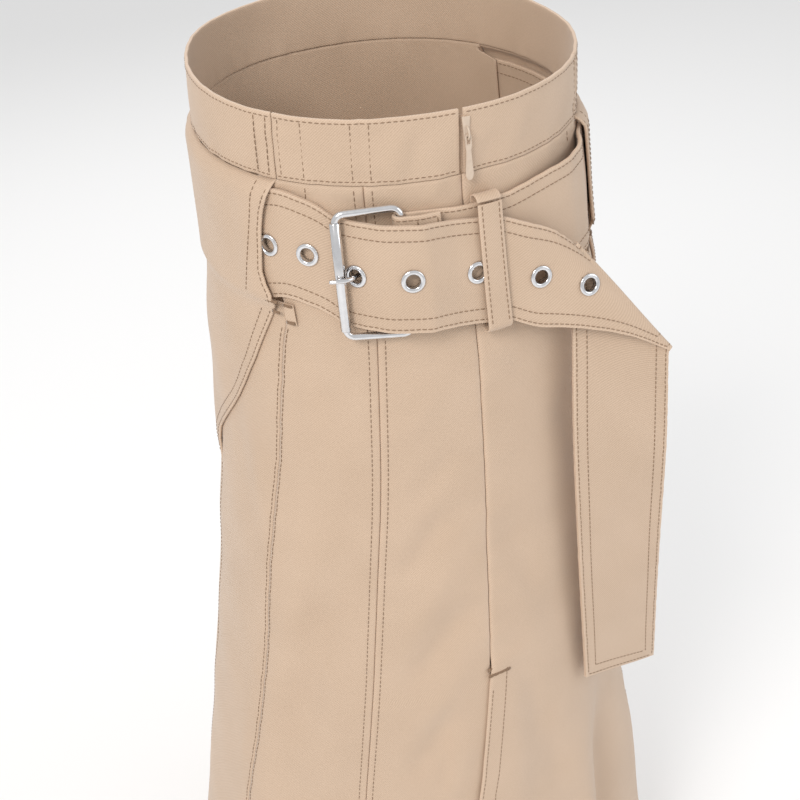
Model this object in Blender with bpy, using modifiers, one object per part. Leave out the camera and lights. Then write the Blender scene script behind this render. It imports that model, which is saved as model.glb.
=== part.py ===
# A worn, high-waisted cargo skirt in tan twill with its own buckled belt. Metres, +Z up.
# The wearer faces -Y and the wearer's left is +X. The origin is the middle of the waist at belt height.
# The cloth is described by an angle round the body, 0 at the centre front and positive towards the
# wearer's left, and by a depth below the rim of the waistband.
import math

import bmesh
import bpy
import numpy as np
from mathutils import Matrix, Vector

RIM_HEIGHT = 0.072        # rim of the waistband above the origin, at the wearer's sides
LENGTH = 0.800            # rim to hem
BAND_DEPTH = 0.0366       # waistband
BAND_WALL = 0.0020        # two layers and stiffening
WALL = 0.0014             # one panel with its turned seams
SEAM = 0.0004             # gap between two pieces at a seam
SQUARE = 0.94             # under 1 makes a section a little squarer than an ellipse
TILT = 0.105              # the worn waist rises towards the back
TILT_ENDS = 0.300         # depth where the tilt has died away
LAP = 7.0                 # degrees that a lower layer runs under the one on it
COLUMN = 7.5              # degrees between two columns of a panel's mesh

BELT_THICK = 0.0022
BELT_WIDTH = 0.065
WIRE = 0.0021             # radius of the buckle's wire
ROLLER = 0.0030           # outer radius of the roller
PRONG = 0.0013            # radius of the prong
EYELET_HOLE = 0.0040      # inner radius of an eyelet
EYELET_RIM = 0.0066       # outer radius of an eyelet
CLOTH_HOLE = 0.0050       # radius punched in the belt for an eyelet

# Sections of the skirt: depth, half width, half depth and how far the middle is moved sideways
SECTIONS = (
    (0.000, 0.1134, 0.1089, -0.0018),
    (0.037, 0.1139, 0.1091, -0.0028),
    (0.100, 0.1169, 0.1110, -0.0008),
    (0.160, 0.1249, 0.1145, 0.0008),
    (0.230, 0.1300, 0.1178, 0.0000),
    (0.300, 0.1376, 0.1232, -0.0030),
    (0.380, 0.1465, 0.1310, -0.0074),
    (0.460, 0.1575, 0.1398, -0.0135),
    (0.560, 0.1725, 0.1500, -0.0205),
    (0.680, 0.1890, 0.1620, -0.0265),
    (0.800, 0.2060, 0.1740, -0.0310),
)

# The largest folds: from an angle and a depth to another angle and depth, height out of the cloth and
# half width
FOLDS = (
    (-57, 0.260, -80, 0.900, 0.0060, 0.024),
    (-38, 0.262, -61, 0.500, -0.0060, 0.019),
    (-24, 0.312, -8, 0.246, -0.0034, 0.010),
    (-24, 0.398, -1, 0.318, -0.0045, 0.012),
    (-21, 0.470, -8, 0.405, -0.0038, 0.011),
    (1, 0.262, 16, 0.345, -0.0030, 0.011),
    (10, 0.415, 23, 0.535, -0.0036, 0.013),
    (32, 0.455, 22, 0.950, 0.0085, 0.018),
    (44, 0.400, 40, 0.950, -0.0150, 0.022),
    (64, 0.420, 66, 0.950, 0.0110, 0.026),
    (90, 0.400, 92, 0.950, -0.0100, 0.028),
    (118, 0.400, 116, 0.950, 0.0120, 0.028),
    (143, 0.380, 146, 0.950, -0.0110, 0.030),
    (168, 0.400, 172, 0.950, 0.0110, 0.030),
    (-164, 0.380, -160, 0.950, -0.0110, 0.030),
    (-138, 0.400, -134, 0.950, 0.0120, 0.028),
    (-112, 0.400, -110, 0.950, -0.0100, 0.028),
    (-46, 0.500, -50, 0.950, -0.0070, 0.024),
    (-22, 0.560, -24, 0.950, 0.0070, 0.022),
    (6, 0.620, 6, 0.950, -0.0040, 0.020),
)

# Seams and edges of the wearer's right side: depth and angle. The left side is their mirror image
TWIN_SEAM = ((0.037, -26.0), (0.135, -26.5), (0.253, -28.3), (0.355, -30.3), (0.465, -31.8), (0.80, -34.0))
PRINCESS_SEAM = ((0.110, -54.4), (0.124, -54.2), (0.140, -55.8), (0.165, -57.0), (0.185, -58.5),
                 (0.253, -62.0), (0.300, -64.0), (0.80, -72.0))
HIP_EDGE = ((0.037, -51.8), (0.055, -55.5), (0.067, -57.0), (0.092, -58.5), (0.100, -57.6),
            (0.106, -56.2), (0.114, -56.2), (0.120, -58.0), (0.130, -60.5), (0.142, -63.5),
            (0.155, -66.5), (0.167, -70.0), (0.177, -72.8), (0.190, -77.0), (0.200, -81.0),
            (0.215, -87.0), (0.237, -95.5), (0.260, -98.0), (0.300, -99.0), (0.80, -101.0))
BACK_SEAM = ((0.037, -124.0), (0.80, -128.0))
SLIT_START = 0.386
SLIT_EDGE = ((0.380, 0.1), (0.398, -0.6), (0.475, -2.6), (0.4925, -3.5), (0.80, -8.0))
SLIT_LAP = 3.5            # the right side's slit edge runs this many degrees past the centre
# How far the side panel stands out over the belt in its tunnel, over the layer below, then flush
SIDE_LIFT = ((0.037, 0.0), (0.041, 0.0043), (0.045, 0.0053), (0.111, 0.0053), (0.116, 0.0034),
             (0.120, 0.0023), (0.247, 0.0023), (0.270, 0.0), (0.80, 0.0))
SLOT_BULGE = 0.0018       # and how much more it stands out beside the slot, over the belt's eyelets
# How far the lower layer runs under the side panel, as a share of the lap
LAP_SHARE = ((0.037, 0.0), (0.041, 0.0), (0.045, 1.0), (0.222, 1.0), (0.244, 0.0), (0.80, 0.0))

# Depths of the mesh rows of a panel that follows the hip edge, of a plainer one, and of both lower down
HIP_ROWS = (0.041, 0.045, 0.056, 0.067, 0.092, 0.100, 0.106, 0.111, 0.116, 0.120, 0.130, 0.142, 0.155,
            0.167, 0.178, 0.190, 0.200, 0.214, 0.226, 0.237, 0.247, 0.270)
PLAIN_ROWS = (0.041, 0.045, 0.068, 0.092, 0.116, 0.140, 0.165, 0.192, 0.222, 0.244, 0.270)
LOWER_ROWS = (0.295, 0.320, 0.345, 0.368, 0.386, 0.402, 0.430, 0.465, 0.505, 0.550, 0.605, 0.665, 0.730)

BAND_SEAM = 51.6          # waistband side seams
ZIP_HALF = 0.45           # degrees each side of the open zip in the waistband
HINGE_DEPTH = 0.0142      # the pull tab's axis below the rim

# The belt's top edge: angle and depth, running from the buckle round the wearer's left and back
STRAP_TOP = ((-18, 0.0520), (0, 0.0535), (12, 0.0525), (25, 0.0485), (50, 0.0455), (70, 0.0455),
             (180, 0.0450), (264, 0.0445))
TONGUE_TOP = ((266, 0.0455), (296, 0.0455), (303, 0.0440), (308, 0.0415), (317, 0.0430), (322, 0.0490),
              (325.5, 0.0540), (341, 0.0550), (350, 0.0570), (360, 0.0605), (367, 0.0630))
# Where the middle of the belt's thickness lies above the cloth
STRAP_OUT = ((-10, 0.0015), (-6, 0.0018), (-3, 0.0029), (12, 0.0029), (20, 0.0040), (33, 0.0080),
             (43, 0.0070), (50, 0.0028), (53, 0.0015), (264, 0.0015))
TONGUE_OUT = ((266, 0.0015), (296, 0.0015), (301, 0.0021), (326.5, 0.0021), (333.5, 0.0080), (338, 0.0120),
              (340.5, 0.0130), (347.5, 0.0130), (351, 0.0102), (355.5, 0.0066), (367, 0.0066))
# The free end beyond the keeper, from the keeper to the fold, and the tail that hangs from the fold.
# The height here is measured from the rim of the waistband.
FREE_TOP = ((0.0305, -0.1180, -0.0785), (0.0440, -0.1175, -0.0850), (0.0535, -0.1165, -0.0925),
            (0.0620, -0.1155, -0.1010))
FREE_LOW = ((0.0340, -0.1220, -0.1420), (0.0640, -0.1255, -0.1500), (0.0920, -0.1290, -0.1610),
            (0.1190, -0.1310, -0.1775))
TAIL_LEFT = ((0.0615, -0.1134, -0.1025), (0.0600, -0.1180, -0.1650), (0.0595, -0.1210, -0.2240),
             (0.0615, -0.1250, -0.3100), (0.0665, -0.1290, -0.4300))
TAIL_RIGHT = ((0.1205, -0.1287, -0.1795), (0.1235, -0.1265, -0.2200), (0.1254, -0.1250, -0.2570),
              (0.1275, -0.1210, -0.3500), (0.1314, -0.1165, -0.4480))
EYELET_ANGLES = (304.5, 316.5, 330.0, 344.0, 360.0)
FREE_STEPS = (0.0, 0.55, 1.0, 1.35, 2.15, 2.55, 3.0)    # places along the free end's table
FREE_EYELETS = (1, 4)                  # its eyelets sit before these of the places

ROLLER_ANGLE = -34.0
BAR_ANGLE = -17.0
FRAME_TOP = 0.0500
FRAME_LOW = 0.1245
FRAME_RISE = 0.0025       # the frame's bar side sits a little higher than its roller side
ROLLER_TOP = 0.0560
ROLLER_LOW = 0.1195
ROLLER_OUT = 0.0077
BAR_OUT = 0.0050
KEEPER = (1.2, 7.4, 0.0480, 0.1325)    # angles of its edges, top and bottom depth

for old in list(bpy.data.objects):
    bpy.data.objects.remove(old)
parts = bpy.data.collections.new("cargo_skirt")
bpy.context.scene.collection.children.link(parts)
cutters = bpy.data.collections.new("cutters")
bpy.context.scene.collection.children.link(cutters)


def material(name, colour, roughness, metallic=0.0):
    made = bpy.data.materials.new(name)
    made.use_nodes = True
    shader = made.node_tree.nodes["Principled BSDF"]
    shader.inputs["Base Color"].default_value = (*colour, 1.0)
    shader.inputs["Roughness"].default_value = roughness
    shader.inputs["Metallic"].default_value = metallic
    return made


twill = material("tan_twill", (0.49, 0.38, 0.29), 0.75)
nickel = material("polished_nickel", (0.72, 0.72, 0.73), 0.18, 1.0)
painted = material("beige_enamel", (0.52, 0.42, 0.33), 0.45)


def along(rows, x):
    """Value of a table of (x, value) rows, straight between them."""
    return float(np.interp(x, [row[0] for row in rows], [row[1] for row in rows]))


def smooth_along(rows, column, x):
    """Value of one column of a table whose first column is x, on a smooth curve through the rows."""
    xs = [row[0] for row in rows]
    ys = [row[column] for row in rows]
    x = min(max(x, xs[0]), xs[-1])
    k = min(max(int(np.searchsorted(xs, x)) - 1, 0), len(xs) - 2)

    def slope(i):
        low, high = max(i - 1, 0), min(i + 1, len(xs) - 1)
        return (ys[high] - ys[low]) / (xs[high] - xs[low])

    span = xs[k + 1] - xs[k]
    t = (x - xs[k]) / span
    return ((2 * t ** 3 - 3 * t ** 2 + 1) * ys[k] + (t ** 3 - 2 * t ** 2 + t) * span * slope(k)
            + (3 * t ** 2 - 2 * t ** 3) * ys[k + 1] + (t ** 3 - t ** 2) * span * slope(k + 1))


def ease(x):
    x = min(max(x, 0.0), 1.0)
    return x * x * (3 - 2 * x)


def base(angle, depth):
    """Point of the smooth outer cloth before its folds."""
    half_width, half_depth, shift = (smooth_along(SECTIONS, i, depth) for i in (1, 2, 3))
    turn = math.radians(angle - 90)
    c, s = math.cos(turn), math.sin(turn)
    x = half_width * math.copysign(abs(c) ** SQUARE, c) + shift
    y = half_depth * math.copysign(abs(s) ** SQUARE, s)
    return Vector((x, y, RIM_HEIGHT - depth + TILT * y * max(0.0, 1 - depth / TILT_ENDS)))


def outward(angle, depth):
    across = base(angle + 0.5, depth) - base(angle - 0.5, depth)
    down = base(angle, depth + 0.004) - base(angle, depth - 0.004)
    return down.cross(across).normalized()


def fold_height(angle, depth):
    """Sum of the folds at a place: each is a soft ridge or trough along a line."""
    radius = 0.95 * smooth_along(SECTIONS, 1, depth)
    total = 0.0
    for angle_a, depth_a, angle_b, depth_b, height, width in FOLDS:
        turn = (angle - angle_a + 180) % 360 - 180
        run = math.radians(angle_b - angle_a) * radius
        fall = depth_b - depth_a
        aside, below = math.radians(turn) * radius, depth - depth_a
        share = (aside * run + below * fall) / (run * run + fall * fall)
        off = abs(aside * fall - below * run) / math.hypot(run, fall)
        total += height * ease(share / 0.35) * ease((1 - share) / 0.35) * math.exp(-(off / width) ** 2)
    return total


def skin(angle, depth, out=0.0):
    """Point on the cloth's outer face, moved out of it by a distance."""
    return base(angle, depth) + outward(angle, depth) * (out + fold_height(angle, depth))


def place(name, mesh, finish):
    made = bpy.data.objects.new(name, mesh)
    made.data.materials.append(finish)
    parts.objects.link(made)
    return made


def wall(made, thickness, side=-1.0):
    """Give an open sheet its thickness: -1 grows it inwards, 0 to both sides."""
    modifier = made.modifiers.new("wall", "SOLIDIFY")
    modifier.thickness = thickness
    modifier.offset = side
    modifier.use_even_offset = False
    return made


def sheet(name, columns, rows, point, finish=twill, close=False):
    """A grid whose points come from point(u, v), u and v from 0 to 1; columns and rows count faces."""
    shape = bmesh.new()
    bmesh.ops.create_grid(shape, x_segments=columns, y_segments=rows, size=0.5)
    for corner in shape.verts:
        u, v = corner.co.x + 0.5, 0.5 - corner.co.y
        corner.co = point(u, v)
    if close:
        bmesh.ops.remove_doubles(shape, verts=shape.verts, dist=0.00001)
    mesh = bpy.data.meshes.new(name)
    shape.to_mesh(mesh)
    shape.free()
    mesh.shade_smooth()
    return place(name, mesh, finish)


def shell(name, columns, rows, outer, inner, finish=twill):
    """A wall between two sheets with the same grid, its edges closed."""
    shape = bmesh.new()
    bmesh.ops.create_grid(shape, x_segments=columns, y_segments=rows, size=0.5)
    rim = [e for e in shape.edges if e.is_boundary]
    copy = bmesh.ops.duplicate(shape, geom=shape.verts[:] + shape.edges[:] + shape.faces[:])
    copied = [item for item in copy["geom"] if isinstance(item, bmesh.types.BMVert)]
    copied_faces = [item for item in copy["geom"] if isinstance(item, bmesh.types.BMFace)]
    bmesh.ops.reverse_faces(shape, faces=copied_faces)
    twins = copy["vert_map"]
    for edge_of_rim in rim:
        loop = edge_of_rim.link_loops[0]
        a, b = loop.vert, loop.link_loop_next.vert
        shape.faces.new((b, a, twins[a], twins[b]))
    inside = set(copied)
    for corner in shape.verts:
        u, v = corner.co.x + 0.5, 0.5 - corner.co.y
        corner.co = (inner if corner in inside else outer)(u, v)
    if shape.calc_volume(signed=True) < 0:
        bmesh.ops.reverse_faces(shape, faces=shape.faces)
    mesh = bpy.data.meshes.new(name)
    shape.to_mesh(mesh)
    shape.free()
    return place(name, mesh, finish)


def gap_angle(depth, share=0.5):
    """Half a seam gap, in degrees."""
    return math.degrees(SEAM * share / smooth_along(SECTIONS, 2, depth))


def depth_rows(top, low, hip):
    """Depths of a panel's rows: closer over the belt and the pocket, wider down the skirt."""
    upper = HIP_ROWS if hip else PLAIN_ROWS
    inner = [depth for depth in (*upper, *LOWER_ROWS) if top + 0.0025 < depth < low - 0.0025]
    return [top, *inner, low]


def panel(name, first, last, top, low, out=None, hip=True):
    """A panel between two edges, each an angle as a function of depth."""
    depths = depth_rows(top, low, hip)
    middle = depths[len(depths) // 2]
    columns = max(2, round(max(abs(last(d) - first(d)) for d in (top, middle, low)) / COLUMN))

    def point(u, v, inward=0.0):
        depth = depths[round(v * (len(depths) - 1))]
        angle = first(depth) + (last(depth) - first(depth)) * u
        return skin(angle, depth, (out(angle, depth) if out else 0.0) - inward)

    return shell(name, columns, len(depths) - 1, point, lambda u, v: point(u, v, WALL))


def mirrored(rows):
    return tuple((depth, -angle) for depth, angle in rows)


def edge(rows, gap=0.0):
    """An edge from a table, moved along the waist by a share of the seam gap."""
    return lambda depth: along(rows, depth) + gap_angle(depth, gap)


def lapped(rows, side):
    """An edge that runs under the side panel where that panel lies on top, and meets it below.
    The side is -1 where the lap reaches to smaller angles and 1 where it reaches to larger ones."""
    def where(depth):
        share = along(LAP_SHARE, depth)
        return along(rows, depth) + side * LAP * share - side * gap_angle(depth) * (1 - share)
    return where


# Waistband: two fronts that part at the zip, and one long piece round the back
def band(name, first, last):
    columns = round((last - first) / COLUMN)

    def point(u, v, inward=0.0):
        return skin(first + (last - first) * u, BAND_DEPTH * v, -inward)

    return shell(name, columns, 3, point, lambda u, v: point(u, v, BAND_WALL))


half_gap = gap_angle(0.02)
band("waistband_front_right", -BAND_SEAM + half_gap, -ZIP_HALF)
band("waistband_front_left", ZIP_HALF, BAND_SEAM - half_gap)
band("waistband_back", BAND_SEAM + half_gap, 360 - BAND_SEAM - half_gap)

# Front panels, from the centre front to the wearer's right
PANEL_TOP = BAND_DEPTH + SEAM


def slit_under(depth):
    """The right front's centre edge: on the centre line, then under the left front at the slit."""
    return -gap_angle(depth) + SLIT_LAP * ease((depth - SLIT_START - 0.006) / 0.010)


def middle_side(depth):
    """Outer edge of the middle panel: under the side panel at belt height, then the princess seam."""
    blend = ease((depth - 0.098) / 0.012)
    under = along(HIP_EDGE, depth) - LAP * along(LAP_SHARE, depth) + gap_angle(depth)
    return under + (along(PRINCESS_SEAM, depth) + gap_angle(depth) - under) * blend


panel("front_right_centre", edge(TWIN_SEAM, 0.5), slit_under, PANEL_TOP, LENGTH, hip=False)
panel("front_right_middle", middle_side, edge(TWIN_SEAM, -0.5), PANEL_TOP, LENGTH)
panel("front_right_side", lapped(HIP_EDGE, -1), edge(PRINCESS_SEAM, -0.5), 0.1125, LENGTH)


# Front panel of the wearer's left: its slit edge lies on the right front's
def left_out(angle, depth):
    lift = 0.0022 * ease((depth - 0.372) / 0.014) + 0.0026 * ease((depth - 0.410) / 0.180)
    return lift * (1 - ease((angle - SLIT_LAP - 1.5) / 8.0))


def left_centre(depth):
    share = ease((depth - SLIT_START + 0.006) / 0.006)
    return gap_angle(depth) * (1 - share) + along(SLIT_EDGE, depth) * share


panel("front_left", left_centre, lambda depth: -middle_side(depth), PANEL_TOP, LENGTH, left_out)
panel("front_left_side", edge(mirrored(PRINCESS_SEAM), 0.5), lapped(mirrored(HIP_EDGE), 1), 0.1125, LENGTH)


# Side panels: each lies on the belt in its tunnel, and its front edge is the belt slot and the pocket
def side_out(angle, depth):
    belt_zone = ease((depth - 0.041) / 0.006) * (1 - ease((depth - 0.108) / 0.006))
    return along(SIDE_LIFT, depth) + SLOT_BULGE * belt_zone * (1 - ease((abs(angle) - 62) / 8))


panel("side_panel_right", edge(BACK_SEAM), edge(HIP_EDGE), PANEL_TOP, LENGTH, side_out)
panel("side_panel_left", edge(mirrored(HIP_EDGE)), edge(mirrored(BACK_SEAM)), PANEL_TOP, LENGTH, side_out)

# Back panel, which runs a little way under both side panels
BACK_LEFT = mirrored(BACK_SEAM)
BACK_RIGHT = tuple((depth, 360 + angle) for depth, angle in BACK_SEAM)
panel("back_panel", lapped(BACK_LEFT, -1), lapped(BACK_RIGHT, 1), PANEL_TOP, LENGTH, hip=False)


# Small sewn bar below each belt slot
def slot_bar(name, side):
    def point(u, v):
        angle = side * (54.2 - 3.6 * u - 0.9 * v)
        return skin(angle, 0.1115 + 0.0125 * v, 0.0014)

    made = sheet(name, 2, 2, point)
    if side > 0:
        made.data.flip_normals()
    return wall(made, 0.0010)


slot_bar("slot_bar_right", -1)
slot_bar("slot_bar_left", 1)


# Belt: the strap from the buckle bar round the wearer's left and back, and the tongue that comes out of
# the right slot, runs under the roller and over the bar, through the keeper, and folds down as a tail
def belt_depth(rows, angle, v):
    return along(rows, angle) + BELT_WIDTH * v


def lift_up(point):
    """Height from the rim to height from the origin."""
    return Vector((point[0], point[1], point[2] + RIM_HEIGHT))


def strap_path():
    """Angles and outs along the strap: the sewn end, round the buckle bar, then round the waist."""
    degree = math.radians(1) * 0.118
    rows = [(-7.0, 0.0056), (-10.0, 0.0068), (-13.5, 0.0083)]
    loop = WIRE + 0.0004 + BELT_THICK / 2
    for turn in (60, 90, 120, 150, 180, 210, 240, 270, 300):
        aside = loop * math.cos(math.radians(turn)) / degree
        rows.append((BAR_ANGLE + aside, BAR_OUT + loop * math.sin(math.radians(turn))))
    rows += [(-13.0, 0.0016), (-10.0, 0.0016)]
    rows += [(float(a), along(STRAP_OUT, a)) for a in (-6, -3, 0, 4, 8, 12, 16, 20, 26, 33, 38, 43, 47)]
    rows += [(float(a), along(STRAP_OUT, a)) for a in (50, 53, 57, 60, *range(66, 264, 6), 264)]
    return rows


def ribbon(name, stations, split=3):
    """A strip of belt through stations, each a top and a low point."""
    def point(u, v):
        top, low = stations[round(u * (len(stations) - 1))]
        return top.lerp(low, v)

    made = sheet(name, len(stations) - 1, split, point)
    return wall(made, BELT_THICK, 0.0)


def on_cloth(top_rows, angle, out):
    return tuple(skin(angle, belt_depth(top_rows, angle, v), out) for v in (0, 1))


strap = ribbon("belt_strap", [on_cloth(STRAP_TOP, angle, out) for angle, out in strap_path()], split=2)


def free_station(step):
    """Top and low point of the free end, on smooth curves through its table's rows."""
    ends = []
    for rows in (FREE_TOP, FREE_LOW):
        numbered = [(i, *row) for i, row in enumerate(rows)]
        ends.append(lift_up([smooth_along(numbered, column, step) for column in (1, 2, 3)]))
    return tuple(ends)


tongue_angles = (*range(266, 302, 6), 301, 308, 312.5, 320.5, 324.5, 326.5, 333.5, 338, 340.5,
                 347.5, 351, 353, 356.5, 363.5, 367)
tongue_stations = [on_cloth(TONGUE_TOP, angle, along(TONGUE_OUT, angle)) for angle in tongue_angles]
tongue_stations += [free_station(step) for step in FREE_STEPS]
tongue = ribbon("belt_tongue", tongue_stations)

tail_stations = [(lift_up(left), lift_up(right)) for left, right in zip(TAIL_LEFT, TAIL_RIGHT)]
tail = ribbon("belt_tail", tail_stations)
tail.data.flip_normals()


# Keeper: a loop of cloth round the strap and the tongue
def keeper_point(u, v):
    first, last, top, low = KEEPER
    inner, outer, bend = 0.0009, 0.0100, 0.0030
    ring = [(inner, top + bend), (inner, low - bend), ((inner + outer) / 2, low), (outer, low - bend),
            (outer, low - 0.022), (outer, (top + low) / 2), (outer, top + 0.022), (outer, top + bend),
            ((inner + outer) / 2, top), (inner, top + bend)]
    out, depth = ring[round(u * (len(ring) - 1))]
    return skin(last + (first - last) * v, depth, out)


keeper = wall(sheet("belt_keeper", 9, 2, keeper_point, close=True), 0.0010, 0.0)


# Cutters, and the cut they make
def cut(made, cutter):
    cutter.hide_render = True
    cutter.display_type = "WIRE"
    for holder in list(cutter.users_collection):
        holder.objects.unlink(cutter)
    cutters.objects.link(cutter)
    modifier = made.modifiers.new("cut", "BOOLEAN")
    modifier.operation = "DIFFERENCE"
    modifier.object = cutter


def facing(point, axis, up=Vector((0, 0, 1))):
    """Matrix with its Z along an axis, placed at a point."""
    side = up.cross(axis).normalized()
    return Matrix.Translation(point) @ Matrix((side, axis.cross(side), axis)).transposed().to_4x4()


def punch(made, point, axis):
    shape = bmesh.new()
    bmesh.ops.create_cone(shape, cap_ends=True, segments=16, radius1=CLOTH_HOLE, radius2=CLOTH_HOLE,
                          depth=0.012)
    mesh = bpy.data.meshes.new("punch")
    shape.to_mesh(mesh)
    shape.free()
    cutter = bpy.data.objects.new("punch", mesh)
    cutters.objects.link(cutter)
    cutter.matrix_world = facing(point, axis)
    cut(made, cutter)


# Eyelets: a turned spool with a flange on each face of the belt
def turned(name, profile, matrix, finish, steps=12):
    """A closed profile of (radius, height) points turned about its Z axis."""
    shape = bmesh.new()
    corners = [shape.verts.new((radius, 0, height)) for radius, height in profile]
    for i, corner in enumerate(corners):
        shape.edges.new((corner, corners[(i + 1) % len(corners)]))
    mesh = bpy.data.meshes.new(name)
    shape.to_mesh(mesh)
    shape.free()
    made = place(name, mesh, finish)
    made.matrix_world = matrix
    screw = made.modifiers.new("turn", "SCREW")
    screw.steps = steps
    screw.render_steps = steps
    screw.use_merge_vertices = True
    screw.merge_threshold = 0.00001
    screw.use_smooth_shade = True
    return made


def eyelet(name, point, axis, spare=0.0):
    """An eyelet through the belt; spare is room under its flanges where the belt twists."""
    face = BELT_THICK / 2 + 0.0004
    lip = face + 0.0008
    back = BELT_THICK / 2 + 0.0002 + spare
    barrel = CLOTH_HOLE - 0.0004
    profile = ((EYELET_HOLE, lip), (EYELET_RIM - 0.0007, lip), (EYELET_RIM, face), (barrel, face),
               (barrel, -back), (EYELET_RIM - 0.0012, -back), (EYELET_RIM - 0.0012, -back - 0.0004),
               (EYELET_HOLE, -back - 0.0004))
    return turned(name, profile, facing(point, axis), nickel)


def between(first, second, share):
    """Middle of the belt between two of its stations, and its outward axis there."""
    (top_a, low_a), (top_b, low_b) = first, second
    centre_a, centre_b = (top_a + low_a) / 2, (top_b + low_b) / 2
    down = low_a + low_b - top_a - top_b
    return centre_a.lerp(centre_b, share), down.cross(centre_b - centre_a).normalized()


eyelet_places = []
for angle in EYELET_ANGLES:
    after = next(i for i, station in enumerate(tongue_angles) if station > angle)
    share = (angle - tongue_angles[after - 1]) / (tongue_angles[after] - tongue_angles[after - 1])
    eyelet_places.append(between(tongue_stations[after - 1], tongue_stations[after], share))
for after in FREE_EYELETS:
    after += len(tongue_angles)
    eyelet_places.append(between(tongue_stations[after - 1], tongue_stations[after], 0.5))
for number, (point, axis) in enumerate(eyelet_places, 1):
    punch(tongue, point, axis)
    eyelet(f"eyelet_{number}", point, axis, 0.0005 if number > len(EYELET_ANGLES) else 0.0)


# Buckle: a wire frame, a roller on the side where the tongue bends, and a prong on the other side
def tube(name, points, radius, closed=False, finish=nickel, sides=2):
    curve = bpy.data.curves.new(name, "CURVE")
    curve.dimensions = "3D"
    curve.bevel_depth = radius
    curve.bevel_resolution = sides
    curve.use_fill_caps = not closed
    spline = curve.splines.new("POLY")
    spline.points.add(len(points) - 1)
    for knot, where in zip(spline.points, points):
        knot.co = (*where, 1.0)
    spline.use_cyclic_u = closed
    spline.use_smooth = True
    return place(name, curve, finish)


def rounded_corners(corners, radius, steps=5):
    """A closed path round four corners, each bent with a radius."""
    path = []
    for i, corner in enumerate(corners):
        before = (corners[i - 1] - corner).normalized() * radius
        after = (corners[(i + 1) % len(corners)] - corner).normalized() * radius
        for step in range(steps + 1):
            turn = math.pi / 2 * step / steps
            path.append(corner + before * (1 - math.sin(turn)) + after * (1 - math.cos(turn)))
    return path


frame_corners = [skin(ROLLER_ANGLE, FRAME_TOP, ROLLER_OUT),
                 skin(BAR_ANGLE, FRAME_TOP - FRAME_RISE, BAR_OUT),
                 skin(BAR_ANGLE, FRAME_LOW, BAR_OUT), skin(ROLLER_ANGLE, FRAME_LOW, ROLLER_OUT)]
tube("buckle_frame", rounded_corners(frame_corners, 0.0045), WIRE, closed=True)

roller_axis = (frame_corners[0] - frame_corners[3]).normalized()
roller_long = (ROLLER_LOW - ROLLER_TOP) / 2
roller_bore = WIRE + 0.0003
roller_profile = ((roller_bore, roller_long), (ROLLER, roller_long), (ROLLER, -roller_long),
                  (roller_bore, -roller_long))
roller_middle = (frame_corners[0] + frame_corners[3]) / 2
turned("buckle_roller", roller_profile, facing(roller_middle, roller_axis, Vector((1, 0, 0))), nickel, 20)

# The prong is drawn in the plane across the belt at its middle: steps along the belt and out of the cloth
bar_middle = (frame_corners[1] + frame_corners[2]) / 2
roller_side = roller_middle - bar_middle
prong_out = (skin(BAR_ANGLE, 0.088, 0.02) - skin(BAR_ANGLE, 0.088, 0.0)).normalized()
prong_along = (roller_side - prong_out * roller_side.dot(prong_out)).normalized()
to_roller = roller_side.dot(prong_along)
roller_rise = roller_side.dot(prong_out)
coil = WIRE + 0.0003 + PRONG
rest = roller_rise + ROLLER + 0.0003 + PRONG


def prong_point(step, out):
    return bar_middle + prong_along * step + prong_out * out


hook = [(coil * math.cos(math.radians(turn)), coil * math.sin(math.radians(turn)))
        for turn in (50, 90, 130, 170, 210, 250, 290, 320)]
prong_hole = eyelet_places[2][0] - bar_middle
hole_along, hole_out = prong_hole.dot(prong_along), prong_hole.dot(prong_out)
through = ((-0.0080, -0.0021), (-0.0042, -0.0020), (-0.0017, -0.0009), (0.0, 0.0004), (0.0016, 0.0022),
           (0.0034, 0.0042))
shank = [(0.0062, -0.0016)] + [(hole_along + a, hole_out + o) for a, o in through]
shank += [(to_roller - 0.0020, rest), (to_roller + 0.0020, rest), (to_roller + 0.0062, rest - 0.0006)]
tube("buckle_prong", [prong_point(step, out) for step, out in hook + shank], PRONG)

slot = bpy.data.meshes.new("prong_slot")
shape = bmesh.new()
bmesh.ops.create_cube(shape, size=1.0, matrix=Matrix.Diagonal((0.0150, 0.0048, 0.0150, 1.0)))
shape.to_mesh(slot)
shape.free()
slot_cutter = bpy.data.objects.new("prong_slot", slot)
cutters.objects.link(slot_cutter)
slot_up = prong_out.cross(prong_along).normalized()
slot_cutter.matrix_world = Matrix.Translation(bar_middle) @ Matrix(
    (prong_along, slot_up, prong_out)).transposed().to_4x4()
cut(strap, slot_cutter)


# Zip: the tape behind the centre front, the slider with its bridge, and the pull tab hinged in it
def tape_point(u, v):
    return skin(-5.5 + 11 * u, 0.004 + 0.186 * v, -BAND_WALL - 0.0003)


wall(sheet("zip_tape", 4, 12, tape_point), 0.0008)

hinge = skin(1.0, HINGE_DEPTH, 0.0031)
slider_face = skin(1.0, HINGE_DEPTH, 0.0).y
slider_mesh = bpy.data.meshes.new("zip_slider")
shape = bmesh.new()
bmesh.ops.create_cube(shape, size=1.0, matrix=Matrix.Translation(
    (hinge.x, slider_face - 0.0011, hinge.z + 0.0032)) @ Matrix.Diagonal((0.0046, 0.0013, 0.0125, 1.0)))
bmesh.ops.bevel(shape, geom=shape.edges[:], offset=0.0004, segments=2, profile=0.5, affect="EDGES")
shape.to_mesh(slider_mesh)
shape.free()
slider = place("zip_slider", slider_mesh, painted)

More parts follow.
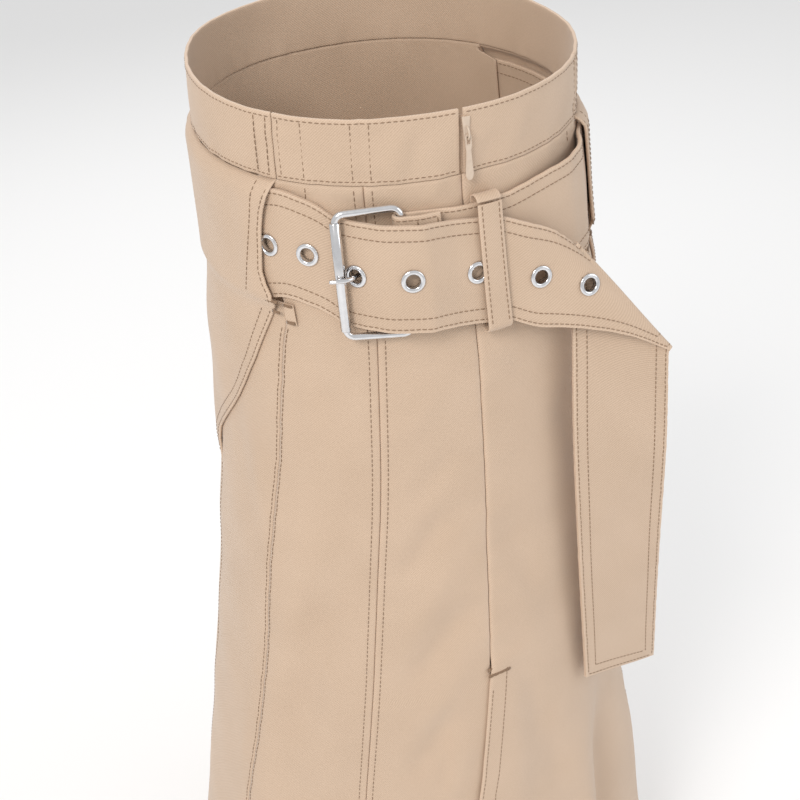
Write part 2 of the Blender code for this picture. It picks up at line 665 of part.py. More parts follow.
bridge_steps = ((-0.0012, 0.0040), (-0.0032, 0.0040), (-0.0044, 0.0030), (-0.0046, 0.0005),
                (-0.0044, -0.0014), (-0.0034, -0.0021), (-0.0012, -0.0022))
bridge_curve = tube("zip_bridge", [(hinge.x, slider_face + y, hinge.z + z) for y, z in bridge_steps],
                    0.0005, finish=painted)
bpy.context.view_layer.update()
graph = bpy.context.evaluated_depsgraph_get()
bridge_mesh = bpy.data.meshes.new_from_object(bridge_curve.evaluated_get(graph))
shape = bmesh.new()
shape.from_mesh(bridge_mesh)
bmesh.ops.remove_doubles(shape, verts=shape.verts, dist=0.00001)
shape.to_mesh(bridge_mesh)
shape.free()
bpy.data.objects.remove(bridge_curve)
bridge = bpy.data.objects.new("zip_bridge", bridge_mesh)
cutters.objects.link(bridge)
bridge.hide_render = True
bridge.display_type = "WIRE"
joined = slider.modifiers.new("bridge", "BOOLEAN")
joined.operation = "UNION"
joined.object = bridge

pull_curve = bpy.data.curves.new("zip_pull", "CURVE")
pull_curve.dimensions = "2D"
pull_curve.fill_mode = "BOTH"
pull_curve.extrude = 0.0004
pull_outline = [(-0.0013, 0.0005), (0.0013, 0.0005), (0.0018, -0.0010), (0.0018, -0.0060), (0.0014, -0.0085),
                (0.0019, -0.0150), (0.0023, -0.0205), (0.0019, -0.0232), (0.0009, -0.0244), (-0.0009, -0.0244),
                (-0.0019, -0.0232), (-0.0023, -0.0205), (-0.0019, -0.0150), (-0.0014, -0.0085),
                (-0.0018, -0.0060), (-0.0018, -0.0010)]
pull_eye = [(-0.0010, -0.0005), (0.0010, -0.0005), (0.0010, -0.0048), (-0.0010, -0.0048)]
for outline in (pull_outline, pull_eye):
    spline = pull_curve.splines.new("POLY")
    spline.points.add(len(outline) - 1)
    for knot, (x, z) in zip(spline.points, outline):
        knot.co = (x, z, 0.0, 1.0)
    spline.use_cyclic_u = True
pull = place("zip_pull", pull_curve, painted)
pull.location = hinge
pull.rotation_euler = (math.radians(90), 0, 0)
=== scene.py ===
# A worn, high-waisted cargo skirt in tan twill with its own buckled belt, dressed on its CAD frame.
# Metres, +Z up. The wearer faces -Y, and the wearer's left is +X. A place on the cloth is an angle
# round the body, 0 at the centre front and positive to the wearer's left, and a depth below the rim.
import math

import bmesh
import bpy
import numpy as np
from mathutils import Matrix, Vector


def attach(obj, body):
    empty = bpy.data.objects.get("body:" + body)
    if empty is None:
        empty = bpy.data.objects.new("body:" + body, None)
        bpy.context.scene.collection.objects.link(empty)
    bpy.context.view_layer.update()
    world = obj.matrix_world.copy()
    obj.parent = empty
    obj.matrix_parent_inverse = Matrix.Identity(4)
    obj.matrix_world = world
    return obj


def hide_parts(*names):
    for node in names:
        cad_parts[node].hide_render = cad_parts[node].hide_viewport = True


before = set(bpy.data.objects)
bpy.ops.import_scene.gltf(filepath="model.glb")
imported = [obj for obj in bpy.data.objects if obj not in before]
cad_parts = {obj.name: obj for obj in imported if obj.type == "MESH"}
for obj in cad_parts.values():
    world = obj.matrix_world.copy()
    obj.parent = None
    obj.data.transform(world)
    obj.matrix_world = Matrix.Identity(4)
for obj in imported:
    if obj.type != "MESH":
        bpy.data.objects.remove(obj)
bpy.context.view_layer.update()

# Camera. It stands in front of the wearer's right hip and looks down on the waist, which fills the
# picture from side to side, so the hem is below the picture.
camera_data = bpy.data.cameras.new("camera")
camera_data.sensor_width = 36.0
camera_data.lens = 51.75
camera_data.clip_end = 40.0
camera = bpy.data.objects.new("camera", camera_data)
bpy.context.scene.collection.objects.link(camera)
look = Vector((0.2950, 0.7970, -0.5270)).normalized()
side = Vector((0.9193, -0.3871, -0.0711))
side = (side - look * side.dot(look)).normalized()
camera.matrix_world = (Matrix.Translation((-0.2438, -0.6370, 0.2472))
                       @ Matrix((side, side.cross(look), -look)).transposed().to_4x4())
bpy.context.scene.camera = camera


# Light. A large soft lamp from the front left, a weaker one from the right, one from behind and a
# white sky light the skirt and its pale floor.
def lamp(name, place, aim, size, power, colour):
    light = bpy.data.lights.new(name, "AREA")
    light.shape = "DISK"
    light.size = size
    light.energy = power
    light.color = colour
    made = bpy.data.objects.new(name, light)
    made.matrix_world = Matrix.Translation(place) @ (
        (Vector(place) - Vector(aim)).to_track_quat("Z", "Y").to_matrix().to_4x4())
    bpy.context.scene.collection.objects.link(made)


lamp("key", (-1.7, -1.5, 1.7), (0.0, 0.0, -0.15), 1.1, 42.0, (1.0, 0.965, 0.93))
lamp("fill", (1.9, -1.6, 0.9), (0.0, 0.0, -0.2), 1.8, 12.0, (0.93, 0.96, 1.0))
lamp("back", (0.3, 2.2, 1.6), (0.0, 0.0, 0.0), 1.6, 14.0, (1.0, 1.0, 1.0))
world = bpy.data.worlds.new("sky")
world.use_nodes = True
world.node_tree.nodes["Background"].inputs["Color"].default_value = (1.0, 1.0, 1.0, 1.0)
world.node_tree.nodes["Background"].inputs["Strength"].default_value = 0.75
bpy.context.scene.world = world
bpy.context.scene.view_settings.view_transform = "Standard"


# Cloth. The panels are cut from a mid-weight cotton twill whose fine ribs run down to the wearer's
# left, with a dull sheen. Each panel's grain follows its own middle, through the UV map "cut".
class Value:
    """A number that comes out of a shader node; an expression on values adds its Math nodes."""
    def __init__(self, finish, socket):
        self.finish, self.socket = finish, socket

    def maths(self, operation, first, second):
        return self.finish.node("ShaderNodeMath", {"operation": operation}, {0: first, 1: second})

    def __add__(self, other):
        return self.maths("ADD", self, other)

    def __sub__(self, other):
        return self.maths("SUBTRACT", self, other)

    def __rsub__(self, other):
        return self.maths("SUBTRACT", other, self)

    def __mul__(self, other):
        return self.maths("MULTIPLY", self, other)

    __radd__, __rmul__ = __add__, __mul__


class Finish:
    """A material on a Principled shader."""
    def __init__(self, name, **inputs):
        self.material = bpy.data.materials.new(name)
        self.material.use_nodes = True
        self.tree = self.material.node_tree
        self.shader = self.tree.nodes["Principled BSDF"]
        for socket, value in inputs.items():
            self.feed(self.shader, socket.replace("_", " "), value)

    def feed(self, node, socket, value):
        if isinstance(value, Value):
            self.tree.links.new(value.socket, node.inputs[socket])
        else:
            node.inputs[socket].default_value = value

    def node(self, kind, settings, inputs, out=0):
        made = self.tree.nodes.new(kind)
        for name, value in settings.items():
            setattr(made, name, value)
        for socket, value in inputs.items():
            self.feed(made, socket, value)
        return Value(self, made.outputs[out])

    def mix(self, factor, first, second):
        return self.node("ShaderNodeMix", {"data_type": "RGBA"}, {0: factor, 6: first, 7: second}, 2)


def cloth_finish(name, light, dark, rib_pitch=0.00115, slope=47.0):
    finish = Finish(name, Roughness=0.62, Sheen_Weight=0.22, Sheen_Roughness=0.45, Specular_IOR_Level=0.32)
    cut = finish.node("ShaderNodeUVMap", {"uv_map": "cut"}, {})
    turned = finish.node("ShaderNodeMapping", {}, {"Vector": cut, "Rotation": (0.0, 0.0, math.radians(slope))})
    ribs = finish.node("ShaderNodeTexWave", {"bands_direction": "X"},
                       {"Vector": turned, "Scale": 0.314 / rib_pitch, "Distortion": 0.6, "Detail": 2.0,
                        "Detail Scale": 1.4}, 1)
    slub = finish.node("ShaderNodeTexNoise", {}, {"Vector": cut, "Scale": 900.0, "Detail": 3.0})
    patches = finish.node("ShaderNodeTexNoise", {}, {"Vector": cut, "Scale": 22.0, "Detail": 4.0})
    # This attribute lightens the cloth along its edges, rims and hem: partly pale wear, partly a painted highlight
    # on those ridges.
    rub_and_highlight = finish.node("ShaderNodeAttribute", {"attribute_name": "rub_and_highlight"}, {}, 2)
    tone = 0.30 * ribs + 0.38 * slub + 0.35 * patches + 0.30 * rub_and_highlight
    colour = finish.mix(tone, (*dark, 1.0), (*light, 1.0))
    finish.feed(finish.shader, "Base Color", colour)
    finish.feed(finish.shader, "Roughness", 0.70 - 0.16 * slub)
    rise = 0.75 * ribs + 0.5 * slub
    bump = finish.node("ShaderNodeBump", {}, {"Strength": 0.55, "Distance": 0.00022, "Height": rise})
    finish.feed(finish.shader, "Normal", bump)
    return finish.material


twill = cloth_finish("tan_twill", (0.660, 0.500, 0.375), (0.420, 0.300, 0.205))

RIM_HEIGHT = 0.072
LENGTH = 0.800
BAND_DEPTH = 0.0366
TILT, TILT_ENDS = 0.105, 0.300

# Sections of the skirt: depth, half width, half depth and how far the middle is moved sideways
SECTIONS = (
    (0.000, 0.1134, 0.1089, -0.0018),
    (0.037, 0.1139, 0.1091, -0.0028),
    (0.100, 0.1169, 0.1110, -0.0008),
    (0.160, 0.1249, 0.1145, 0.0008),
    (0.230, 0.1300, 0.1178, 0.0000),
    (0.300, 0.1376, 0.1232, -0.0030),
    (0.380, 0.1465, 0.1310, -0.0074),
    (0.460, 0.1575, 0.1398, -0.0135),
    (0.560, 0.1725, 0.1500, -0.0205),
    (0.680, 0.1890, 0.1620, -0.0265),
    (0.800, 0.2060, 0.1740, -0.0310),
)
# Large folds: angle and depth of both ends, height out of the cloth and half width
FOLDS = (
    (-57, 0.260, -80, 0.900, 0.0060, 0.024),
    (-38, 0.262, -61, 0.500, -0.0060, 0.019),
    (-24, 0.312, -8, 0.246, -0.0034, 0.010),
    (-24, 0.398, -1, 0.318, -0.0045, 0.012),
    (-21, 0.470, -8, 0.405, -0.0038, 0.011),
    (1, 0.262, 16, 0.345, -0.0030, 0.011),
    (10, 0.415, 23, 0.535, -0.0036, 0.013),
    (32, 0.455, 22, 0.950, 0.0085, 0.018),
    (44, 0.400, 40, 0.950, -0.0150, 0.022),
    (64, 0.420, 66, 0.950, 0.0110, 0.026),
    (90, 0.400, 92, 0.950, -0.0100, 0.028),
    (118, 0.400, 116, 0.950, 0.0120, 0.028),
    (143, 0.380, 146, 0.950, -0.0110, 0.030),
    (168, 0.400, 172, 0.950, 0.0110, 0.030),
    (-164, 0.380, -160, 0.950, -0.0110, 0.030),
    (-138, 0.400, -134, 0.950, 0.0120, 0.028),
    (-112, 0.400, -110, 0.950, -0.0100, 0.028),
    (-46, 0.500, -50, 0.950, -0.0070, 0.024),
    (-22, 0.560, -24, 0.950, 0.0070, 0.022),
    (6, 0.620, 6, 0.950, -0.0040, 0.020),
)
# Smaller creases that only show in the cloth's surface, in the same columns
CREASES = (
    (-14, 0.000, -19, 0.040, 0.0009, 0.006),
    (-9, 0.002, -15, 0.044, -0.0009, 0.005),
    (-4, 0.028, -9, 0.052, 0.0007, 0.004),
    (9, 0.012, 4, 0.050, -0.0008, 0.005),
    (20, 0.004, 12, 0.046, 0.0007, 0.006),
    (-36, 0.118, -24, 0.200, -0.0012, 0.008),
    (-52, 0.122, -38, 0.190, -0.0014, 0.008),
    (-50, 0.160, -34, 0.250, 0.0010, 0.009),
    (-23, 0.255, -5, 0.205, -0.0016, 0.008),
    (-22, 0.200, -9, 0.165, 0.0008, 0.007),
    (-23, 0.355, -6, 0.285, 0.0014, 0.008),
    (-20, 0.430, -4, 0.370, 0.0012, 0.008),
    (-13, 0.420, -10, 0.480, -0.0020, 0.007),
    (-4, 0.430, -12, 0.500, 0.0014, 0.008),
    (3, 0.300, 17, 0.400, 0.0012, 0.009),
    (5, 0.150, 22, 0.205, -0.0010, 0.008),
    (3, 0.372, 15, 0.440, -0.0018, 0.008),
    (24, 0.190, 40, 0.300, -0.0016, 0.012),
    (36, 0.140, 52, 0.230, 0.0012, 0.010),
    (-66, 0.120, -84, 0.200, -0.0014, 0.010),
    (-72, 0.200, -62, 0.330, 0.0015, 0.012),
    (-88, 0.140, -76, 0.260, -0.0014, 0.012),
    (-36, 0.300, -48, 0.420, 0.0016, 0.010),
    (-62, 0.330, -70, 0.520, -0.0018, 0.010),
    (-34, 0.430, -44, 0.560, -0.0018, 0.010),
    (-50, 0.260, -58, 0.380, 0.0014, 0.009),
    (70, 0.130, 84, 0.260, -0.0015, 0.012),
    (98, 0.150, 108, 0.300, 0.0014, 0.014),
    (150, 0.110, 160, 0.240, -0.0015, 0.014),
    (-170, 0.110, -176, 0.260, 0.0014, 0.014),
    (-140, 0.120, -150, 0.250, -0.0014, 0.013),
    (-112, 0.130, -104, 0.260, 0.0014, 0.013),
)
# Seams and edges of the wearer's right side, depth and angle; the left side is their mirror image
TWIN_SEAM = ((0.037, -26.0), (0.135, -26.5), (0.253, -28.3), (0.355, -30.3), (0.465, -31.8), (0.80, -34.0))
PRINCESS_SEAM = ((0.110, -54.4), (0.124, -54.2), (0.140, -55.8), (0.165, -57.0), (0.185, -58.5),
                 (0.253, -62.0), (0.300, -64.0), (0.80, -72.0))
HIP_EDGE = ((0.037, -51.8), (0.055, -55.5), (0.067, -57.0), (0.092, -58.5), (0.100, -57.6),
            (0.106, -56.2), (0.114, -56.2), (0.120, -58.0), (0.130, -60.5), (0.142, -63.5),
            (0.155, -66.5), (0.167, -70.0), (0.177, -72.8), (0.190, -77.0), (0.200, -81.0),
            (0.215, -87.0), (0.237, -95.5), (0.260, -98.0), (0.300, -99.0), (0.80, -101.0))
BACK_SEAM = ((0.037, -124.0), (0.80, -128.0))
SLIT_START, SLIT_LAP = 0.386, 3.5
SLIT_EDGE = ((0.380, 0.1), (0.398, -0.6), (0.475, -2.6), (0.4925, -3.5), (0.80, -8.0))
SIDE_LIFT = ((0.037, 0.0), (0.041, 0.0043), (0.045, 0.0053), (0.111, 0.0053), (0.116, 0.0034),
             (0.120, 0.0023), (0.247, 0.0023), (0.270, 0.0), (0.80, 0.0))
LAP, SLOT_BULGE = 7.0, 0.0018
LAP_SHARE = ((0.037, 0.0), (0.041, 0.0), (0.045, 1.0), (0.222, 1.0), (0.244, 0.0), (0.80, 0.0))


def along(rows, x):
    return np.interp(x, [row[0] for row in rows], [row[1] for row in rows])


def smooth_along(rows, column, x):
    """One column of a table whose first column is x, on a smooth curve through its rows."""
    rows = np.array(rows)
    xs, ys = rows[:, 0], rows[:, column]
    last = len(xs) - 1
    low, high = np.maximum(np.arange(last + 1) - 1, 0), np.minimum(np.arange(last + 1) + 1, last)
    slopes = (ys[high] - ys[low]) / (xs[high] - xs[low])
    x = np.clip(x, xs[0], xs[-1])
    k = np.clip(np.searchsorted(xs, x) - 1, 0, last - 1)
    span = xs[k + 1] - xs[k]
    t = (x - xs[k]) / span
    return ((2 * t ** 3 - 3 * t ** 2 + 1) * ys[k] + (t ** 3 - 2 * t ** 2 + t) * span * slopes[k]
            + (3 * t ** 2 - 2 * t ** 3) * ys[k + 1] + (t ** 3 - t ** 2) * span * slopes[k + 1])


def ease(x):
    x = np.clip(x, 0.0, 1.0)
    return x * x * (3 - 2 * x)


def radius(depth):
    return 0.97 * smooth_along(SECTIONS, 1, depth)


def base(angle, depth):
    """Points of the smooth outer cloth before its folds, one row for each place."""
    half_width, half_depth, shift = (smooth_along(SECTIONS, i, depth) for i in (1, 2, 3))
    turn = np.radians(angle - 90.0)
    c, s = np.cos(turn), np.sin(turn)
    x = half_width * np.sign(c) * np.abs(c) ** 0.94 + shift
    y = half_depth * np.sign(s) * np.abs(s) ** 0.94
    tilt = TILT * y * np.maximum(0.0, 1 - depth / TILT_ENDS)
    return np.stack((x, y, RIM_HEIGHT - depth + tilt), -1)


def unit(vectors):
    return vectors / np.linalg.norm(vectors, axis=-1, keepdims=True)


def outward(angle, depth):
    return unit(np.cross(base(angle, depth + 0.004) - base(angle, depth - 0.004),
                         base(angle + 0.5, depth) - base(angle - 0.5, depth)))


def crease_height(rows, angle, depth):
    """Sum of soft ridges and troughs, each along a line."""
    round_body = 0.95 * smooth_along(SECTIONS, 1, depth)
    total = np.zeros_like(depth)
    for angle_a, depth_a, angle_b, depth_b, height, width in rows:
        run, fall = math.radians(angle_b - angle_a) * round_body, depth_b - depth_a
        aside = np.radians((angle - angle_a + 180) % 360 - 180) * round_body
        below = depth - depth_a
        share = (aside * run + below * fall) / (run * run + fall * fall)
        off = np.abs(aside * fall - below * run) / np.hypot(run, fall)
        total += height * ease(share / 0.35) * ease((1 - share) / 0.35) * np.exp(-(off / width) ** 2)
    return total


# Lines where two pieces are sewn together: the cloth dips there and puckers along them
SEWN = [(TWIN_SEAM, 0.0, 0.80), (PRINCESS_SEAM, 0.125, 0.80), (((0.0, 0.0), (0.8, 0.0)), 0.037, SLIT_START),
        (BACK_SEAM, 0.120, 0.80), (tuple((0.001 * k, -51.6) for k in (0, 36)), 0.0, 0.0366)]
SEWN += [(tuple((d, -a) for d, a in rows), top, low) for rows, top, low in SEWN[1:2] + SEWN[3:5]]


def sewn_dip(angle, depth):
    """How the cloth sinks and puckers next to the seams, and along the waistband's lower seam."""
    total = np.zeros_like(depth)
    for number, (rows, top, low) in enumerate(SEWN):
        off = np.radians((angle - along(rows, depth) + 180) % 360 - 180) * radius(depth)
        there = ease((depth - top + 0.002) / 0.004) * ease((low - depth + 0.002) / 0.004)
        ripple = (np.sin(depth * 330 + number) + 0.7 * np.sin(depth * 517 + 2.1 * number)
                  + 0.5 * np.sin(depth * 190 + 0.7 * number))
        total += there * (-0.0006 * np.exp(-(off / 0.0013) ** 2)
                          + 0.00022 * ripple * np.exp(-((np.abs(off) - 0.004) / 0.006) ** 2))
    off = depth - BAND_DEPTH
    run = np.radians(angle) * 0.112
    ripple = np.sin(run * 360) + 0.7 * np.sin(run * 541 + 1.0) + 0.5 * np.sin(run * 211)
    total += 0.00020 * ripple * np.exp(-(off / 0.007) ** 2)
    total += 0.00012 * (np.sin(run * 420 + 0.6) + 0.6 * np.sin(run * 260)) * np.exp(-(depth / 0.005) ** 2)
    return total


def unevenness(angle, depth):
    run = np.radians(angle) * radius(depth)
    return 0.00035 * (np.sin(run * 47 + 3.1 * np.sin(depth * 21)) * np.sin(depth * 39 + 1.3)
                      + 0.6 * np.sin(run * 88 - depth * 71 + 0.5) + 0.5 * np.sin(run * 61 + depth * 93))


def body(angle, depth, out=0.0):
    """The CAD's outer cloth, moved out by a distance."""
    rise = np.asarray(out + crease_height(FOLDS, angle, depth))
    return base(angle, depth) + outward(angle, depth) * rise[..., None]


def skin(angle, depth, out=0.0):
    """The dressed cloth's outer face, with its creases and puckers."""
    angle, depth = np.broadcast_arrays(np.asarray(angle, float), np.asarray(depth, float))
    small = crease_height(CREASES, angle, depth) + sewn_dip(angle, depth) + unevenness(angle, depth)
    return body(angle, depth, out + small)


def finished(name, shape, finish, nodes=(), smooth=True):
    """Make an object of a bmesh: its finish and the CAD nodes that it stands for."""
    mesh = bpy.data.meshes.new(name)
    shape.to_mesh(mesh)
    shape.free()
    if smooth:
        mesh.shade_smooth()
    made = bpy.data.objects.new(name, mesh)
    mesh.materials.append(finish)
    bpy.context.scene.collection.objects.link(made)
    if nodes:
        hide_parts(*nodes)
    return made


def cloth(name, across, down, place, nodes=(), thickness=0.001, offset=-1.0, rounded=0.0):
    """A sheet whose grid comes from place(column, row): its points, where they lie on the flat cut in
    metres, and how much pale wear and painted highlight lighten them."""
    shape = bmesh.new()
    cut = shape.loops.layers.uv.new("cut")
    rub_and_highlight_layer = shape.verts.layers.float.new("rub_and_highlight")
    bmesh.ops.create_grid(shape, x_segments=across, y_segments=down, size=0.5)
    corners = list(shape.verts)
    column = np.array([round((corner.co.x + 0.5) * across) for corner in corners])
    row = np.array([round((0.5 - corner.co.y) * down) for corner in corners])
    points, flat, rub_and_highlight = place(column, row)
    for corner, point, (u, v), amount in zip(corners, points.tolist(), flat.tolist(), rub_and_highlight.tolist()):
        corner.co = point
        corner[rub_and_highlight_layer] = amount
        for loop in corner.link_loops:
            loop[cut].uv = (u, v)
    made = finished(name, shape, twill, nodes=nodes)
    thick = made.modifiers.new("thickness", "SOLIDIFY")
    thick.thickness = thickness
    thick.offset = offset
    thick.use_even_offset = False
    if rounded:
        edges = made.modifiers.new("rounded", "BEVEL")
        edges.width = rounded
        edges.segments = 3
        edges.limit_method = "ANGLE"
        edges.angle_limit = math.radians(50)
    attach(made, "skirt")
    return made


# Stitching. Every seam is topstitched with a tonal brown thread, about 3.4 mm a stitch; each stitch
# is a short bent piece of thread whose ends sink into the cloth.
thread = Finish("brown_thread", Base_Color=(0.205, 0.118, 0.062, 1.0), Roughness=0.55, Sheen_Weight=0.3)
lint = thread.node("ShaderNodeTexNoise", {}, {"Vector": thread.node("ShaderNodeTexCoord", {}, {}, 3),
                                              "Scale": 700.0})
thread.feed(thread.shader, "Base Color",
            thread.mix(lint, (0.150, 0.085, 0.045, 1.0), (0.330, 0.205, 0.120, 1.0)))


def stitched(name, lines, pitch=0.0034, thick=0.00030):
    """Stitches along lines, each a pair of arrays: points on the cloth and the directions out of it."""
    curve = bpy.data.curves.new(name, "CURVE")
    curve.dimensions = "3D"
    curve.bevel_depth = thick
    curve.bevel_resolution = 0
    curve.use_fill_caps = True
    for points, normals in lines:
        steps = np.concatenate(([0.0], np.cumsum(np.linalg.norm(np.diff(points, axis=0), axis=1))))
        for start in np.arange(0.0006, steps[-1] - pitch * 0.7, pitch):
            spline = curve.splines.new("POLY")
            spline.points.add(3)
            for knot, (share, rise) in zip(spline.points, ((0.0, -0.7), (0.2, 0.5), (0.55, 0.5), (0.75, -0.7))):
                where = start + share * pitch
                at = [np.interp(where, steps, points[:, i]) + np.interp(where, steps, normals[:, i]) * rise * thick
                      for i in range(3)]
                knot.co = (*at, 1.0)
            spline.use_smooth = True
    curve.materials.append(thread.material)
    made = bpy.data.objects.new(name, curve)
    bpy.context.scene.collection.objects.link(made)
    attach(made, "skirt")
    return made


def down_line(rows, top, low, aside=0.0, out=0.0):
    """A line down the cloth beside a seam or edge, moved aside in metres and out by a distance or rule."""
    depth = np.linspace(top, low, max(4, int((low - top) / 0.0015)))
    angle = (rows(depth) if callable(rows) else along(rows, depth)) + np.degrees(aside / radius(depth))
    return skin(angle, depth, out(angle, depth) if callable(out) else out), outward(angle, depth)


def round_line(first, last, depth, out=0.0):
    """A line round the cloth at a depth."""
    angle = np.linspace(first, last, max(4, int(abs(last - first) * 1.3)))
    depth = np.full_like(angle, depth)
    return skin(angle, depth, out(angle, depth) if callable(out) else out), outward(angle, depth)


# Waistband. Two layers of twill with stiffening, about 37 mm deep: two fronts that part at the zip and
# one long piece round the back, with a row of stitching at the rim and one just above its lower seam.
BAND_SEAM, ZIP_HALF, BAND_WALL, BAND_RADIUS = 51.6, 0.45, 0.0020, 0.113


def band(name, first, last):
    across = round((last - first) * 0.9)
    down = 18

    def place(column, row):
        angle = first + (last - first) * column / across
        depth = BAND_DEPTH * row / down
        run = np.radians(angle) * BAND_RADIUS
        rise = 0.0003 * np.exp(-((depth - 0.018) / 0.012) ** 2)
        # Pale wear and painted highlight along the rim.
        rub_and_highlight = 0.8 * np.exp(-(depth / 0.0015) ** 2)
        return skin(angle, depth, rise), np.stack((run, -depth), -1), rub_and_highlight

    made = cloth(name, across, down, place, (name,), BAND_WALL, rounded=0.0006)


band("waistband_front_right", -BAND_SEAM + 0.06, -ZIP_HALF)
band("waistband_front_left", ZIP_HALF, BAND_SEAM - 0.06)
band("waistband_back", BAND_SEAM + 0.06, 360 - BAND_SEAM - 0.06)

rows = [round_line(-51.2, -0.7, 0.0344), round_line(0.7, 51.2, 0.0344), round_line(52.0, 308.0, 0.0344)]
rows += [round_line(-51.2, -0.9, 0.0022), round_line(0.9, 51.2, 0.0022), round_line(52.0, 308.0, 0.0022)]
for angle in (-57.6, -53.6, -49.6, -42.6, -28.6, -23.6, 49.6, 53.6, 57.6, 122.0, 238.0):
    rows.append(down_line(((0.0, angle), (1.0, angle - 0.3)), 0.0022, 0.0344))
stitched("waistband_stitching", rows)


# Panels. Each is one layer of twill, sewn to its neighbours with the allowance turned inwards and
# hemmed below. The edges at the belt slots, the pockets and the slit are folded under instead.
# Columns at a sewn edge, at a folded one and at a raw one that lies under another piece: distance in
# from the edge and how far inwards
SEAM_EDGE = ((0.0, 0.0045), (0.0, 0.0011), (0.0002, 0.0004), (0.0007, 0.0001), (0.0016, 0.0), (0.0032, 0.0))
FOLDED_EDGE = ((0.0120, 0.0021), (0.0022, 0.0021), (0.0010, 0.0020), (0.0002, 0.0015), (0.0, 0.0010),
               (0.0002, 0.0004), (0.0008, 0.0001), (0.0018, 0.0), (0.0034, 0.0))
LYING_EDGE = ((0.0, 0.0), (0.0030, 0.0))
GRID_STEP, HEM = 0.0042, 0.024


def spread(points, step):
    """Values from the first to the last of some knots, no more than a step apart."""
    made = [points[0]]
    for low, high in zip(points, points[1:]):
        count = max(1, math.ceil((high - low) / step))
        made += [low + (high - low) * (i + 1) / count for i in range(count)]
    return np.array(made)


def panel(name, first, last, top, low, near=SEAM_EDGE, far=SEAM_EDGE, out=None, step=GRID_STEP):
    knots = [d for d in (0.041, 0.045, 0.100, 0.106, 0.111, 0.116, 0.120, 0.247, 0.270, 0.380, 0.402)
             if top < d < low]
    depths = spread([top, *knots, low], GRID_STEP)
    hem = ((low, 0.0006), (low - 0.0004, 0.0016), (low - 0.0016, 0.0021), (low - HEM, 0.0021))
    depths = np.concatenate((depths, [d for d, inward in hem]))
    sink = np.concatenate((np.zeros(len(depths) - len(hem)), [inward for d, inward in hem]))
    widest = float(np.max(np.radians(last(depths) - first(depths)) * radius(depths)))
    inner = max(2, round(widest / step))
    across = len(near) + inner + len(far) - 2

    def place(column, row):
        depth = depths[row]
        a, b = first(depth), last(depth)
        width = np.radians(b - a) * radius(depth)
        left = np.array(near)[np.minimum(column, len(near) - 1)]
        right = np.array(far)[np.minimum(across - column, len(far) - 1)]
        start, end = near[-1][0], width - far[-1][0]
        inside = start + (end - start) * (column - len(near) + 1) / inner
        spot = np.where(column < len(near), left[:, 0], inside)
        spot = np.where(across - column < len(far), width - right[:, 0], spot)
        inward = np.maximum(np.where(column < len(near), left[:, 1], 0.0),
                            np.where(across - column < len(far), right[:, 1], 0.0))
        inward = np.maximum(inward, sink[row])
        angle = a + np.degrees(spot / radius(depth))
        rise = (out(angle, depth) if out else 0.0) - inward
        edge = np.minimum(spot, width - spot)
        # Pale wear and painted highlight along the panel's edges and its hem.
        rub_and_highlight = 0.7 * np.exp(-(edge / 0.0014) ** 2) + 0.5 * np.exp(-((low - depth) / 0.002) ** 2)
        return skin(angle, depth, rise), np.stack((spot - width / 2, -depth), -1), rub_and_highlight

    made = cloth(name, across, len(depths) - 1, place, (name,))
    depth = np.linspace(top, low, 200)
    width = np.radians(last(depth) - first(depth)) * radius(depth)
    return made


def edge(rows, gap=0.0):
    return lambda depth: along(rows, depth) + np.degrees(gap / radius(depth))


def mirrored(rows):
    return tuple((depth, -angle) for depth, angle in rows)


def lapped(rows, way):
    """An edge that runs under the side panel where that lies on top, and meets it below."""
    def where(depth):
        share = along(LAP_SHARE, depth)
        return along(rows, depth) + way * LAP * share - way * np.degrees(0.00005 / radius(depth)) * (1 - share)
    return where


def slit_under(depth):
    """The right front's centre edge: on the centre line, then under the left front at the slit."""
    return -np.degrees(0.00005 / radius(depth)) + SLIT_LAP * ease((depth - SLIT_START - 0.006) / 0.010)


def middle_side(depth):
    """Outer edge of the middle panel: under the side panel at belt height, then the princess seam."""
    blend = ease((depth - 0.098) / 0.012)
    under = along(HIP_EDGE, depth) - LAP * along(LAP_SHARE, depth)
    return under + (along(PRINCESS_SEAM, depth) - under) * blend + np.degrees(0.00005 / radius(depth))


def left_out(angle, depth):
    """How far the left front stands off the right front along the slit."""
    lift = 0.0022 * ease((depth - 0.372) / 0.014) + 0.0026 * ease((depth - 0.410) / 0.180)
    return lift * (1 - ease((angle - SLIT_LAP - 1.5) / 8.0))


def left_centre(depth):
    share = ease((depth - SLIT_START + 0.006) / 0.006)
    return np.degrees(0.00005 / radius(depth)) * (1 - share) + along(SLIT_EDGE, depth) * share


PANEL_TOP = BAND_DEPTH + 0.0002
panel("front_right_centre", edge(TWIN_SEAM, 0.00005), slit_under, PANEL_TOP, LENGTH)
panel("front_right_middle", middle_side, edge(TWIN_SEAM, -0.00005), PANEL_TOP, LENGTH, near=LYING_EDGE)
panel("front_right_side", lapped(HIP_EDGE, -1), edge(PRINCESS_SEAM, -0.00005), 0.1125, LENGTH,
      near=LYING_EDGE)
panel("front_left", left_centre, lambda depth: -middle_side(depth), PANEL_TOP, LENGTH, near=FOLDED_EDGE,
      far=LYING_EDGE, out=left_out)
panel("front_left_side", edge(mirrored(PRINCESS_SEAM), 0.00005), lapped(mirrored(HIP_EDGE), 1), 0.1125,
      LENGTH, far=LYING_EDGE)
panel("back_panel", lapped(mirrored(BACK_SEAM), -1),
      lapped(tuple((depth, 360 + angle) for depth, angle in BACK_SEAM), 1), PANEL_TOP, LENGTH,
      near=LYING_EDGE, far=LYING_EDGE, step=0.0055)


